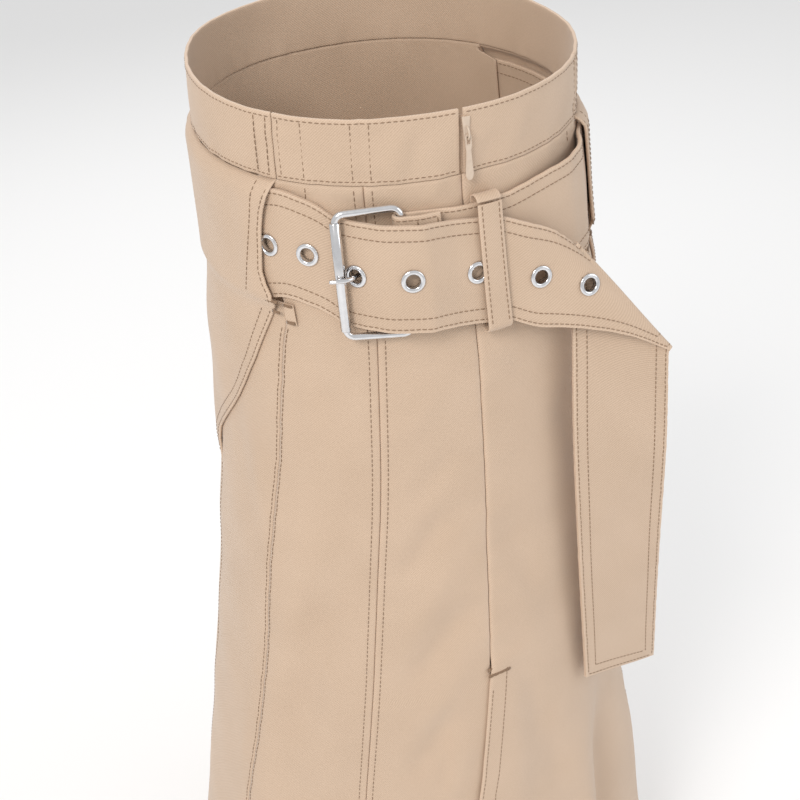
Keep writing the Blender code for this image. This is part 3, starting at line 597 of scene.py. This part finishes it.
# Side panels. Each lies over the belt in its tunnel; its front edge is the belt slot and, lower, the
# slanted pocket mouth, folded under and stitched twice.
def side_out(angle, depth):
    belt_zone = ease((depth - 0.041) / 0.006) * (1 - ease((depth - 0.108) / 0.006))
    return along(SIDE_LIFT, depth) + SLOT_BULGE * belt_zone * (1 - ease((np.abs(angle) - 62) / 8))


panel("side_panel_right", edge(BACK_SEAM, 0.00005), edge(HIP_EDGE, -0.00005), PANEL_TOP, LENGTH,
      far=FOLDED_EDGE, out=side_out)
panel("side_panel_left", edge(mirrored(HIP_EDGE), 0.00005), edge(mirrored(BACK_SEAM), -0.00005), PANEL_TOP,
      LENGTH, near=FOLDED_EDGE, out=side_out)

rows = []
for way, hip, princess in ((1, HIP_EDGE, PRINCESS_SEAM), (-1, mirrored(HIP_EDGE), mirrored(PRINCESS_SEAM))):
    rows += [down_line(hip, 0.041, 0.112, -way * 0.0022, side_out),
             down_line(hip, 0.118, 0.262, -way * 0.0022, side_out),
             down_line(hip, 0.118, 0.262, -way * 0.0090, side_out),
             down_line(hip, 0.262, LENGTH - 0.001, -way * 0.0022)]
    rows += [down_line(((0.037, way * -57.6), (0.112, way * -66.5)), 0.0385, 0.109, 0.0, side_out),
             down_line(princess, 0.128, LENGTH - 0.001, way * 0.0022),
             down_line(princess, 0.128, LENGTH - 0.001, -way * 0.0022)]
    rows.append(down_line(((0.037, way * -42.6), (0.052, way * -42.9)), 0.0385, 0.0455))
for aside in (-0.0051, 0.0046):
    rows.append(down_line(TWIN_SEAM, 0.0385, LENGTH - 0.001, aside))
rows += [down_line(SLIT_EDGE, 0.402, LENGTH - 0.001, 0.0020, left_out),
         down_line(SLIT_EDGE, 0.388, LENGTH - 0.001, 0.0100, left_out),
         down_line(mirrored(BACK_SEAM), 0.116, LENGTH - 0.001, -0.0022, side_out),
         down_line(BACK_SEAM, 0.116, LENGTH - 0.001, 0.0022, side_out)]
for first, last, rule in ((-33.4, 3.0, 0.0), (-7.4, 71.4, left_out), (-71.4, -34.6, 0.0), (72.6, 231.4, 0.0),
                          (232.6, 287.6, 0.0)):
    rows.append(round_line(first, last, LENGTH - 0.022, rule))
stitched("panel_stitching", rows)


# Slot bars. A small tab of twill, sewn down with dense bar tacks, closes the foot of each belt slot
# where it meets the pocket mouth.
def bar_place(way, angle, depth, out=0.0):
    return skin(way * np.asarray(angle, float), np.asarray(depth, float), 0.0030 + out)


for name, way in (("slot_bar_right", -1), ("slot_bar_left", 1)):
    def place(column, row, way=way):
        u, v = column / 8, row / 10
        angle = 54.2 - 3.6 * u - 0.9 * v if way < 0 else 50.6 - 0.9 * v + 3.6 * u
        depth = 0.1115 + 0.0125 * v
        swell = 0.0004 * np.sin(np.pi * u) * np.sin(np.pi * v)
        flat = np.stack((0.0075 * u, -depth), -1)
        # The whole bar is painted a little paler, as wear and painted highlight.
        return bar_place(way, angle, depth, swell - 0.0012), flat, np.full_like(u, 0.3)

    cloth(name, 8, 10, place, (name,), 0.0008, rounded=0.0002)
    "front_right_middle" if way < 0 else "front_left"


def bar_tack(way, low_angle, high_angle, top, low, out=0.0):
    """A dense zigzag of thread across a strip of cloth."""
    count = 22
    depth = np.linspace(top, low, count)
    angle = np.where(np.arange(count) % 2 == 0, low_angle, high_angle)
    points = bar_place(way, angle, depth, out - 0.0010)
    return points, outward(way * angle, depth)


tacks = []
for way in (-1, 1):
    tacks += [bar_tack(way, 50.9, 54.0, 0.1120, 0.1135), bar_tack(way, 50.1, 53.1, 0.1222, 0.1238),
              bar_tack(way, 54.4, 58.6, 0.1090, 0.1104, 0.0042), bar_tack(way, 54.6, 57.4, 0.1168, 0.1182, 0.0016)]
tacks += [bar_tack(1, -0.9, 0.9, 0.3850, 0.3872, -0.0008), bar_tack(1, -1.0, 4.6, 0.3895, 0.3912, 0.0006)]
stitched("bar_tacks", tacks, pitch=0.0042, thick=0.00034)

# Belt. A strip of doubled, stiffened twill 65 mm wide, with two rows of stitching along each edge. The
# strap is sewn round the buckle's bar and runs through the side panels' tunnels round the back; its
# other end comes out of the right slot as the tongue.
BELT_WIDTH, BELT_THICK = 0.065, 0.0022
STRAP_TOP = ((-18, 0.0520), (0, 0.0535), (12, 0.0525), (25, 0.0485), (50, 0.0455), (70, 0.0455),
             (180, 0.0450), (264, 0.0445))
TONGUE_TOP = ((266, 0.0455), (296, 0.0455), (303, 0.0440), (308, 0.0415), (317, 0.0430), (322, 0.0490),
              (325.5, 0.0540), (341, 0.0550), (350, 0.0570), (360, 0.0605), (367, 0.0630))
STRAP_OUT = ((-10, 0.0015), (-6, 0.0018), (-3, 0.0029), (12, 0.0029), (20, 0.0040), (33, 0.0080),
             (43, 0.0070), (50, 0.0028), (53, 0.0015), (264, 0.0015))
TONGUE_OUT = ((266, 0.0015), (296, 0.0015), (301, 0.0021), (326.5, 0.0021), (333.5, 0.0080), (338, 0.0120),
              (340.5, 0.0130), (347.5, 0.0130), (351, 0.0102), (355.5, 0.0066), (367, 0.0066))
FREE_TOP = ((0.0305, -0.1180, -0.0785), (0.0440, -0.1175, -0.0850), (0.0535, -0.1165, -0.0925),
            (0.0620, -0.1155, -0.1010))
FREE_LOW = ((0.0340, -0.1220, -0.1420), (0.0640, -0.1255, -0.1500), (0.0920, -0.1290, -0.1610),
            (0.1190, -0.1310, -0.1775))
TAIL_LEFT = ((0.0615, -0.1134, -0.1025), (0.0600, -0.1180, -0.1650), (0.0595, -0.1210, -0.2240),
             (0.0615, -0.1250, -0.3100), (0.0665, -0.1290, -0.4300))
TAIL_RIGHT = ((0.1205, -0.1287, -0.1795), (0.1235, -0.1265, -0.2200), (0.1254, -0.1250, -0.2570),
              (0.1275, -0.1210, -0.3500), (0.1314, -0.1165, -0.4480))
WIRE, BAR_ANGLE, BAR_OUT = 0.0021, -17.0, 0.0050
ROLLER_ANGLE, ROLLER_OUT, ROLLER = -34.0, 0.0077, 0.0030
FRAME_TOP, FRAME_LOW, FRAME_RISE = 0.0500, 0.1245, 0.0025


def on_cloth(top_rows, angle, out):
    """Top and low point of the belt at an angle."""
    top = float(along(top_rows, angle))
    ends = body(np.full(2, float(angle)), np.array([top, top + BELT_WIDTH]), np.full(2, float(out)))
    return ends[0], ends[1]


def smoothed(stations, step):
    """Stations on smooth curves through a belt's stations, no more than a step apart."""
    ends = np.array(stations)
    middles = ends.mean(axis=1)
    gaps = np.linalg.norm(np.diff(middles, axis=0), axis=1) + 0.0004
    knots = np.concatenate(([0.0], np.cumsum(gaps)))
    where = spread(list(knots), step)
    rows = np.concatenate((knots[:, None], ends.reshape(len(ends), 6)), axis=1)
    return np.stack([smooth_along(rows, i, where) for i in range(1, 7)], -1).reshape(len(where), 2, 3)


class Ribbon:
    """A strip of belt: its stations, and places on either face of it."""
    def __init__(self, stations, step=0.0022):
        self.ends = smoothed(stations, step)
        middles = self.ends.mean(axis=1)
        self.run = np.concatenate(([0.0], np.cumsum(np.linalg.norm(np.diff(middles, axis=0), axis=1))))
        down = self.ends[:, 1] - self.ends[:, 0]
        self.normals = unit(np.cross(down, np.gradient(middles, axis=0)))

    def at(self, run, across, out=0.0):
        """Points at a distance along and a share across, and the direction out of the front face."""
        run, across = np.broadcast_arrays(np.asarray(run, float), np.asarray(across, float))
        top, low, normal = (np.stack([np.interp(run, self.run, rows[:, i]) for i in range(3)], -1)
                            for rows in (self.ends[:, 0], self.ends[:, 1], self.normals))
        quilt = 0.00016 * (np.sin(run * 520) + 0.6 * np.sin(run * 333 + 1)) * (
            np.exp(-((across - 0.03) / 0.05) ** 2) + np.exp(-((across - 0.97) / 0.05) ** 2))
        wave = 0.0004 * np.sin(run * 63 + 4 * across) * np.sin(math.pi * across)
        return top + (low - top) * across[..., None] + normal * (out + quilt + wave)[..., None], unit(normal)

    def sheet(self, name, nodes, split=26):
        count = len(self.run) - 1

        def place(column, row):
            share = row / split
            share = share + 0.010 * np.sin(2 * math.pi * share)
            points = self.at(self.run[column], share)[0]
            # Pale wear and painted highlight along the belt's edges.
            rub_and_highlight = 0.8 * np.exp(-(np.minimum(share, 1 - share) / 0.02) ** 2)
            return points, np.stack((self.run[column], -share * BELT_WIDTH), -1), rub_and_highlight

        made = cloth(name, count, split, place, nodes, BELT_THICK, offset=0.0, rounded=0.0007)
        return made

    def rows(self, first, last, faces=(1, -1), shares=(0.033, 0.137, 0.863, 0.967)):
        """Stitch lines along the belt, on its front and back face."""
        run = np.linspace(first, last, max(4, int((last - first) / 0.0012)))
        lines = []
        for face in faces:
            for share in shares:
                points, normals = self.at(run, share, face * (BELT_THICK / 2 + 0.00005))
                lines.append((points, normals * face))
        return lines

    def across(self, run, first=0.033, last=0.967, faces=(1, -1)):
        share = np.linspace(first, last, 40)
        return [(self.at(run, share, face * (BELT_THICK / 2 + 0.00005))[0],
                 self.at(run, share)[1] * face) for face in faces]


degree = math.radians(1) * 0.118
path = [(-7.0, 0.0056), (-10.0, 0.0068), (-13.5, 0.0083)]
loop = WIRE + 0.0004 + BELT_THICK / 2
for turn in (60, 90, 120, 150, 180, 210, 240, 270, 300):
    path.append((BAR_ANGLE + loop * math.cos(math.radians(turn)) / degree,
                 BAR_OUT + loop * math.sin(math.radians(turn))))
path += [(-13.0, 0.0016), (-10.0, 0.0016)]
path += [(a, along(STRAP_OUT, a)) for a in (-6, -3, 0, 4, 8, 12, 16, 20, 26, 33, 38, 43, 47, 50, 53, 57, 60,
                                            *range(66, 264, 6), 264)]
strap = Ribbon([on_cloth(STRAP_TOP, angle, out) for angle, out in path])
strap.sheet("belt_strap", ("belt_strap",))


def free_station(step):
    """Top and low point of the free end beyond the keeper."""
    ends = []
    for rows in (FREE_TOP, FREE_LOW):
        numbered = [(i, *row) for i, row in enumerate(rows)]
        x, y, z = (float(smooth_along(numbered, column, step)) for column in (1, 2, 3))
        ends.append(np.array((x, y, z + RIM_HEIGHT)))
    return ends[0], ends[1]


def tail_station(i):
    return tuple(np.array((x, y, z + RIM_HEIGHT)) for x, y, z in (TAIL_LEFT[i], TAIL_RIGHT[i]))


# Tongue and tail. The tongue passes under the roller, over the bar and through the keeper; its free end
# is folded softly at 45 degrees and hangs down as the tail, which shows its reverse side.
angles = (*range(266, 302, 6), 301, 308, 312.5, 320.5, 324.5, 326.5, 333.5, 338, 340.5, 347.5, 351, 353,
          356.5, 363.5, 367)
stations = [on_cloth(TONGUE_TOP, angle, along(TONGUE_OUT, angle)) for angle in angles]
stations += [free_station(step) for step in (0.0, 0.4, 0.8, 1.2, 1.6, 2.0, 2.4, 2.7, 3.0)]
fold_from = np.array(stations[-1])
fold_to = np.array(tail_station(0))
bulge = np.array((0.80, 0.0, 0.60)) * 0.0022
for turn in (30, 60, 90, 120, 150):
    share = (1 - math.cos(math.radians(turn))) / 2
    stations.append(tuple(fold_from + (fold_to - fold_from) * share + bulge * math.sin(math.radians(turn))))
stations += [tail_station(i) for i in range(len(TAIL_LEFT))]
tongue = Ribbon(stations)
tongue_sheet = tongue.sheet("belt_tongue", ("belt_tongue", "belt_tail"))

end, strap_end = float(tongue.run[-1]), float(strap.run[-1])
rows = tongue.rows(0.0, end - 0.0022, shares=(0.033, 0.967)) + tongue.rows(0.0, end - 0.0090, shares=(0.137, 0.863))
rows += tongue.across(end - 0.0022) + tongue.across(end - 0.0090, 0.137, 0.863)
rows += strap.rows(0.0022, strap_end) + strap.across(0.0022) + strap.across(0.0140)
stitched("belt_stitching", rows)

# Keeper. A narrow loop of doubled twill round the strap and the tongue, stitched along both edges.
KEEPER = (1.2, 7.4, 0.0480, 0.1325)
KEEPER_ROWS, KEEPER_COLUMNS = 130, 10


def keeper_ring(share):
    """Distance out of the cloth and depth round the loop: a flat loop with rounded ends."""
    inner, outer, top, low = 0.0009, 0.0100, KEEPER[2], KEEPER[3]
    bend = (outer - inner) / 2
    straight = low - top - 2 * bend
    whole = 2 * straight + 2 * math.pi * bend
    place = (share % 1.0) * whole
    middle = (inner + outer) / 2
    turn_a = np.clip((place - straight) / bend, 0, math.pi)
    turn_b = np.clip((place - 2 * straight - math.pi * bend) / bend, 0, math.pi)
    out = np.where(place < straight, outer, np.where(
        place < straight + math.pi * bend, middle + bend * np.cos(turn_a), np.where(
            place < 2 * straight + math.pi * bend, inner, middle - bend * np.cos(turn_b))))
    depth = np.where(place < straight, top + bend + place, np.where(
        place < straight + math.pi * bend, low - bend + bend * np.sin(turn_a), np.where(
            place < 2 * straight + math.pi * bend, low - bend - (place - straight - math.pi * bend),
            top + bend - bend * np.sin(turn_b))))
    return out, depth, whole


def keeper_place(column, row):
    share, side_share = row / KEEPER_ROWS, column / KEEPER_COLUMNS
    out, depth, whole = keeper_ring(share)
    angle = KEEPER[0] + (KEEPER[1] - KEEPER[0]) * side_share
    crown = 0.0003 * np.sin(math.pi * side_share)
    # Pale wear and painted highlight along the keeper's edges.
    rub_and_highlight = 0.8 * np.exp(-(np.minimum(side_share, 1 - side_share) / 0.08) ** 2)
    return body(angle, depth, out + crown), np.stack((0.0125 * side_share, -share * whole), -1), rub_and_highlight


keeper = cloth("belt_keeper", KEEPER_COLUMNS, KEEPER_ROWS - 1, keeper_place, ("belt_keeper",), 0.0010,
               offset=0.0, rounded=0.0003)
rows = []
for angle in (KEEPER[0] + 0.9, KEEPER[1] - 0.9):
    out, depth, whole = keeper_ring(np.linspace(0.0, 0.46, 90))
    turn = np.full_like(depth, angle)
    flat_part = (depth > KEEPER[2] + 0.003) & (depth < KEEPER[3] - 0.003)
    rows.append((body(turn, depth, out + 0.0006)[flat_part], outward(turn, depth)[flat_part]))
stitched("keeper_stitching", rows)

# Eyelets. Seven nickel-plated brass rings, 13 mm across, pressed through the belt 28 mm apart: a domed
# flange in front, a flat washer behind. The belt is punched for them.
nickel = Finish("polished_nickel", Base_Color=(0.74, 0.74, 0.75, 1.0), Metallic=1.0, Roughness=0.16)
smear = nickel.node("ShaderNodeTexNoise", {}, {"Vector": nickel.node("ShaderNodeTexCoord", {}, {}, 3),
                                               "Scale": 260.0, "Detail": 3.0})
nickel.feed(nickel.shader, "Roughness", 0.08 + 0.16 * smear)
nickel.feed(nickel.shader, "Base Color", nickel.mix(smear, (0.62, 0.62, 0.64, 1.0), (0.80, 0.80, 0.81, 1.0)))


def facing(point, axis, up=(0, 0, 1)):
    """Matrix with its Z along an axis, placed at a point."""
    axis = Vector(axis).normalized()
    across = Vector(up).cross(axis).normalized()
    return Matrix.Translation(Vector(point)) @ Matrix((across, axis.cross(across), axis)).transposed().to_4x4()


def turned(name, profile, matrix, nodes, steps=40):
    """A closed profile of (radius, height) points spun about its Z axis."""
    shape = bmesh.new()
    corners = [shape.verts.new((r, 0, h)) for r, h in profile]
    edges = [shape.edges.new((corner, corners[(i + 1) % len(corners)])) for i, corner in enumerate(corners)]
    bmesh.ops.spin(shape, geom=corners + edges, cent=(0, 0, 0), axis=(0, 0, 1), angle=2 * math.pi, steps=steps,
                   use_merge=True, use_duplicate=False)
    bmesh.ops.remove_doubles(shape, verts=shape.verts, dist=0.00001)
    bmesh.ops.recalc_face_normals(shape, faces=shape.faces)
    bmesh.ops.transform(shape, matrix=matrix, verts=shape.verts)
    made = finished(name, shape, nickel.material, nodes)
    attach(made, "skirt")
    return made


def run_at(angle):
    """Distance along the tongue where it passes an angle round the body."""
    spot = np.array(on_cloth(TONGUE_TOP, angle, along(TONGUE_OUT, angle))).mean(axis=0)
    return tongue.run[np.argmin(np.linalg.norm(tongue.ends.mean(axis=1) - spot, axis=1))]


def run_near(step):
    spot = np.array(free_station(step)).mean(axis=0)
    return tongue.run[np.argmin(np.linalg.norm(tongue.ends.mean(axis=1) - spot, axis=1))]


ring = [(0.0040, -0.0016)]
ring += [(0.0053 - 0.0013 * math.cos(math.radians(turn)), 0.0016 + 0.0008 * math.sin(math.radians(turn)))
         for turn in range(0, 181, 20)]
ring += [(0.0066, 0.0013), (0.0047, 0.0013), (0.0047, -0.0012), (0.0058, -0.0013), (0.0057, -0.0017),
         (0.0043, -0.0018)]
punch = bmesh.new()
runs = [run_at(angle) for angle in (304.5, 316.5, 330.0, 344.0, 360.0)] + [run_near(0.28), run_near(1.75)]
for number, run in enumerate(runs, 1):
    (point,), (normal,) = (rows.reshape(1, 3) for rows in tongue.at(run, 0.5))
    turned(f"eyelet_{number}", ring, facing(point, normal), (f"eyelet_{number}",))
    bmesh.ops.create_cone(punch, cap_ends=True, segments=24, radius1=0.0049, radius2=0.0049, depth=0.008,
                          matrix=facing(point, normal))
punch_mesh = bpy.data.meshes.new("punch")
punch.to_mesh(punch_mesh)
punch.free()
puncher = bpy.data.objects.new("punch", punch_mesh)
bpy.context.scene.collection.objects.link(puncher)
cut = tongue_sheet.modifiers.new("punched", "BOOLEAN")
cut.operation = "DIFFERENCE"
cut.object = puncher
cut.solver = "EXACT"
bpy.context.view_layer.update()
graph = bpy.context.evaluated_depsgraph_get()
punched = bpy.data.meshes.new_from_object(tongue_sheet.evaluated_get(graph))
tongue_sheet.modifiers.clear()
tongue_sheet.data = punched
bpy.data.objects.remove(puncher)


# Buckle. A frame of bent nickel-plated wire, a roller where the tongue turns over it, and a prong that
# is looped round the bar and lies on the roller.
def rounded_corners(corners, bend, steps=10):
    path = []
    for i, corner in enumerate(corners):
        before = (corners[i - 1] - corner).normalized() * bend
        after = (corners[(i + 1) % len(corners)] - corner).normalized() * bend
        for step in range(steps + 1):
            turn = math.pi / 2 * step / steps
            path.append(corner + before * (1 - math.sin(turn)) + after * (1 - math.cos(turn)))
    return path


def tube(name, points, thick, nodes, closed=False, taper=None):
    curve = bpy.data.curves.new(name, "CURVE")
    curve.dimensions = "3D"
    curve.bevel_depth = thick
    curve.bevel_resolution = 5
    curve.use_fill_caps = not closed
    spline = curve.splines.new("POLY")
    spline.points.add(len(points) - 1)
    for number, (knot, where) in enumerate(zip(spline.points, points)):
        knot.co = (*where, 1.0)
        knot.radius = taper[number] if taper else 1.0
    spline.use_cyclic_u = closed
    spline.use_smooth = True
    curve.materials.append(nickel.material)
    made = bpy.data.objects.new(name, curve)
    bpy.context.scene.collection.objects.link(made)
    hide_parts(*nodes)
    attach(made, "skirt")
    return made


def place_of(angle, depth, out):
    return Vector(body(np.array([float(angle)]), np.array([float(depth)]), np.array([float(out)]))[0])


frame_corners = [place_of(ROLLER_ANGLE, FRAME_TOP, ROLLER_OUT),
                 place_of(BAR_ANGLE, FRAME_TOP - FRAME_RISE, BAR_OUT),
                 place_of(BAR_ANGLE, FRAME_LOW, BAR_OUT), place_of(ROLLER_ANGLE, FRAME_LOW, ROLLER_OUT)]
CORNER_BEND = 0.0052
tube("buckle_frame", rounded_corners(frame_corners, CORNER_BEND), WIRE, ("buckle_frame",), closed=True)

roller_axis = (frame_corners[0] - frame_corners[3]).normalized()
roller_middle = (frame_corners[0] + frame_corners[3]) / 2
long, bore = 0.03175, WIRE + 0.0002
roller_ring = ((bore, long), (ROLLER - 0.0003, long), (ROLLER, long - 0.0003), (ROLLER, -long + 0.0003),
               (ROLLER - 0.0003, -long), (bore, -long))
turned("buckle_roller", roller_ring, facing(roller_middle, roller_axis, (1, 0, 0)), ("buckle_roller",))

PRONG = 0.0013
bar_middle = (frame_corners[1] + frame_corners[2]) / 2
roller_side = roller_middle - bar_middle
prong_out = (place_of(BAR_ANGLE, 0.088, 0.02) - place_of(BAR_ANGLE, 0.088, 0.0)).normalized()
prong_along = (roller_side - prong_out * roller_side.dot(prong_out)).normalized()
to_roller, roller_rise = roller_side.dot(prong_along), roller_side.dot(prong_out)
coil, rest = WIRE + 0.0003 + PRONG, roller_rise + ROLLER + 0.0003 + PRONG
hole = Vector(tongue.at(runs[2], 0.5)[0]) - bar_middle
hole_along, hole_out = hole.dot(prong_along), hole.dot(prong_out)
shank = [(coil * math.cos(math.radians(turn)), coil * math.sin(math.radians(turn)))
         for turn in range(50, 321, 15)]
shank.append((0.0062, -0.0016))
through = ((-0.0080, -0.0021), (-0.0042, -0.0020), (-0.0017, -0.0009), (0.0, 0.0004), (0.0016, 0.0022),
           (0.0034, 0.0042))
shank += [(hole_along + a, hole_out + o) for a, o in through]
shank += [(to_roller - 0.0020, rest), (to_roller + 0.0020, rest), (to_roller + 0.0052, rest - 0.0004),
          (to_roller + 0.0062, rest - 0.0006)]
tube("buckle_prong", [bar_middle + prong_along * a + prong_out * o for a, o in shank], PRONG, ("buckle_prong",),
     taper=[1.0] * (len(shank) - 1) + [0.75])

# Zip. A concealed zip at the centre front: its tape and rolled teeth lie behind the opening, an
# enamelled slider stands at the top, and a teardrop pull tab hangs from the slider's bridge.
enamel = Finish("beige_enamel", Base_Color=(0.60, 0.48, 0.38, 1.0), Roughness=0.38, Coat_Weight=0.25)
chips = enamel.node("ShaderNodeTexNoise", {}, {"Vector": enamel.node("ShaderNodeTexCoord", {}, {}, 3),
                                               "Scale": 420.0, "Detail": 4.0})
enamel.feed(enamel.shader, "Base Color", enamel.mix(chips, (0.50, 0.39, 0.30, 1.0), (0.66, 0.54, 0.43, 1.0)))


def tape_place(column, row):
    angle, depth = -5.5 + 11 * column / 24, 0.004 + 0.186 * row / 60
    rolled = 0.0011 * np.exp(-((np.abs(angle) - 0.9) / 0.6) ** 2)
    run = np.radians(angle) * 0.112
    return body(angle, depth, -0.0024 + rolled), np.stack((run, -depth), -1), np.zeros_like(run)


cloth("zip_tape", 24, 60, tape_place, ("zip_tape",), 0.0006)

TEETH, TOOTH_PITCH = 120, 0.00135
tooth = bmesh.new()
for k in range(TEETH):
    for way in (-1, 1):
        depth = 0.0045 + TOOTH_PITCH * k
        at = place_of(way * 0.42, depth, -0.0026)
        bmesh.ops.create_cube(tooth, size=1.0, matrix=Matrix.Translation(at) @ Matrix.Diagonal(
            (0.0016, 0.0010, 0.0008, 1.0)))
bmesh.ops.bevel(tooth, geom=tooth.edges[:], offset=0.00015, segments=1, profile=0.5, affect="EDGES", material=-1)
teeth = finished("zip_teeth", tooth, thread.material)
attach(teeth, "skirt")

hinge = Vector((0.000258, -0.112009, 0.046906))
slider_face = float(base(np.array([1.0]), np.array([0.0142]))[0, 1])
shape = bmesh.new()
bmesh.ops.create_cube(shape, size=1.0, matrix=Matrix.Translation(
    (hinge.x, slider_face - 0.0011, hinge.z + 0.0032)) @ Matrix.Diagonal((0.0046, 0.0013, 0.0125, 1.0)))
for corner in shape.verts:
    if corner.co.z < hinge.z:
        corner.co.x = hinge.x + (corner.co.x - hinge.x) * 0.62
bmesh.ops.bevel(shape, geom=shape.edges[:], offset=0.0004, segments=3, profile=0.5, affect="EDGES", material=-1)
slider = finished("zip_slider", shape, enamel.material, ("zip_slider",))
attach(slider, "skirt")

bridge = bpy.data.curves.new("zip_bridge", "CURVE")
bridge.dimensions = "3D"
bridge.bevel_depth = 0.0005
bridge.bevel_resolution = 4
arch = ((-0.0012, 0.0040), (-0.0026, 0.0042), (-0.0038, 0.0036), (-0.0045, 0.0022), (-0.0046, 0.0005),
        (-0.0044, -0.0011), (-0.0036, -0.0020), (-0.0024, -0.0023), (-0.0012, -0.0022))
spline = bridge.splines.new("POLY")
spline.points.add(len(arch) - 1)
for knot, (y, z) in zip(spline.points, arch):
    knot.co = (hinge.x, slider_face + y, hinge.z + z, 1.0)
spline.use_smooth = True
bridge.materials.append(enamel.material)
bridge_arch = bpy.data.objects.new("zip_bridge", bridge)
bpy.context.scene.collection.objects.link(bridge_arch)
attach(bridge_arch, "skirt")

outline = [(-0.0013, 0.0005), (0.0013, 0.0005), (0.0018, -0.0010), (0.0018, -0.0060), (0.0014, -0.0085),
           (0.0016, -0.0120), (0.0019, -0.0155), (0.0022, -0.0190), (0.0023, -0.0212), (0.0020, -0.0230),
           (0.0012, -0.0242), (0.0, -0.0246)]
outline += [(-x, z) for x, z in outline[-2:0:-1]]
eye = [(-0.0010, -0.0005), (0.0010, -0.0005), (0.0010, -0.0048), (-0.0010, -0.0048)]
shape = bmesh.new()
loops = []
for points in (outline, eye):
    corners = [shape.verts.new((hinge.x + x, hinge.y - 0.0004, hinge.z + z)) for x, z in points]
    loops.append([shape.edges.new((corner, corners[(i + 1) % len(corners)])) for i, corner in enumerate(corners)])
bmesh.ops.triangle_fill(shape, use_beauty=True, edges=loops[0] + loops[1])
flat = list(shape.faces)
pushed = bmesh.ops.extrude_face_region(shape, geom=flat)
bmesh.ops.translate(shape, vec=(0, 0.0008, 0),
                    verts=[item for item in pushed["geom"] if isinstance(item, bmesh.types.BMVert)])
bmesh.ops.recalc_face_normals(shape, faces=shape.faces)
sharp = [e for e in shape.edges if len(e.link_faces) == 2 and e.calc_face_angle(0) > 1.2]
bmesh.ops.bevel(shape, geom=sharp, offset=0.00018, segments=2, profile=0.5, affect="EDGES", material=-1)
pull = finished("zip_pull", shape, enamel.material, ("zip_pull",), smooth=False)
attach(pull, "pull_tab")

# Floor. A wide sheet of pale paper lies 30 mm below the hem; it is staging, not a part of the skirt,
# so that the hem can be seen from every side.
shape = bmesh.new()
bmesh.ops.create_grid(shape, x_segments=1, y_segments=1, size=30.0,
                      matrix=Matrix.Translation((0.0, 10.0, RIM_HEIGHT - LENGTH - 0.03)))
floor_mesh = bpy.data.meshes.new("floor")
shape.to_mesh(floor_mesh)
shape.free()
floor = bpy.data.objects.new("floor", floor_mesh)
paper = Finish("pale_paper", Base_Color=(0.92, 0.92, 0.92, 1.0), Roughness=0.85)
floor_mesh.materials.append(paper.material)
bpy.context.scene.collection.objects.link(floor)
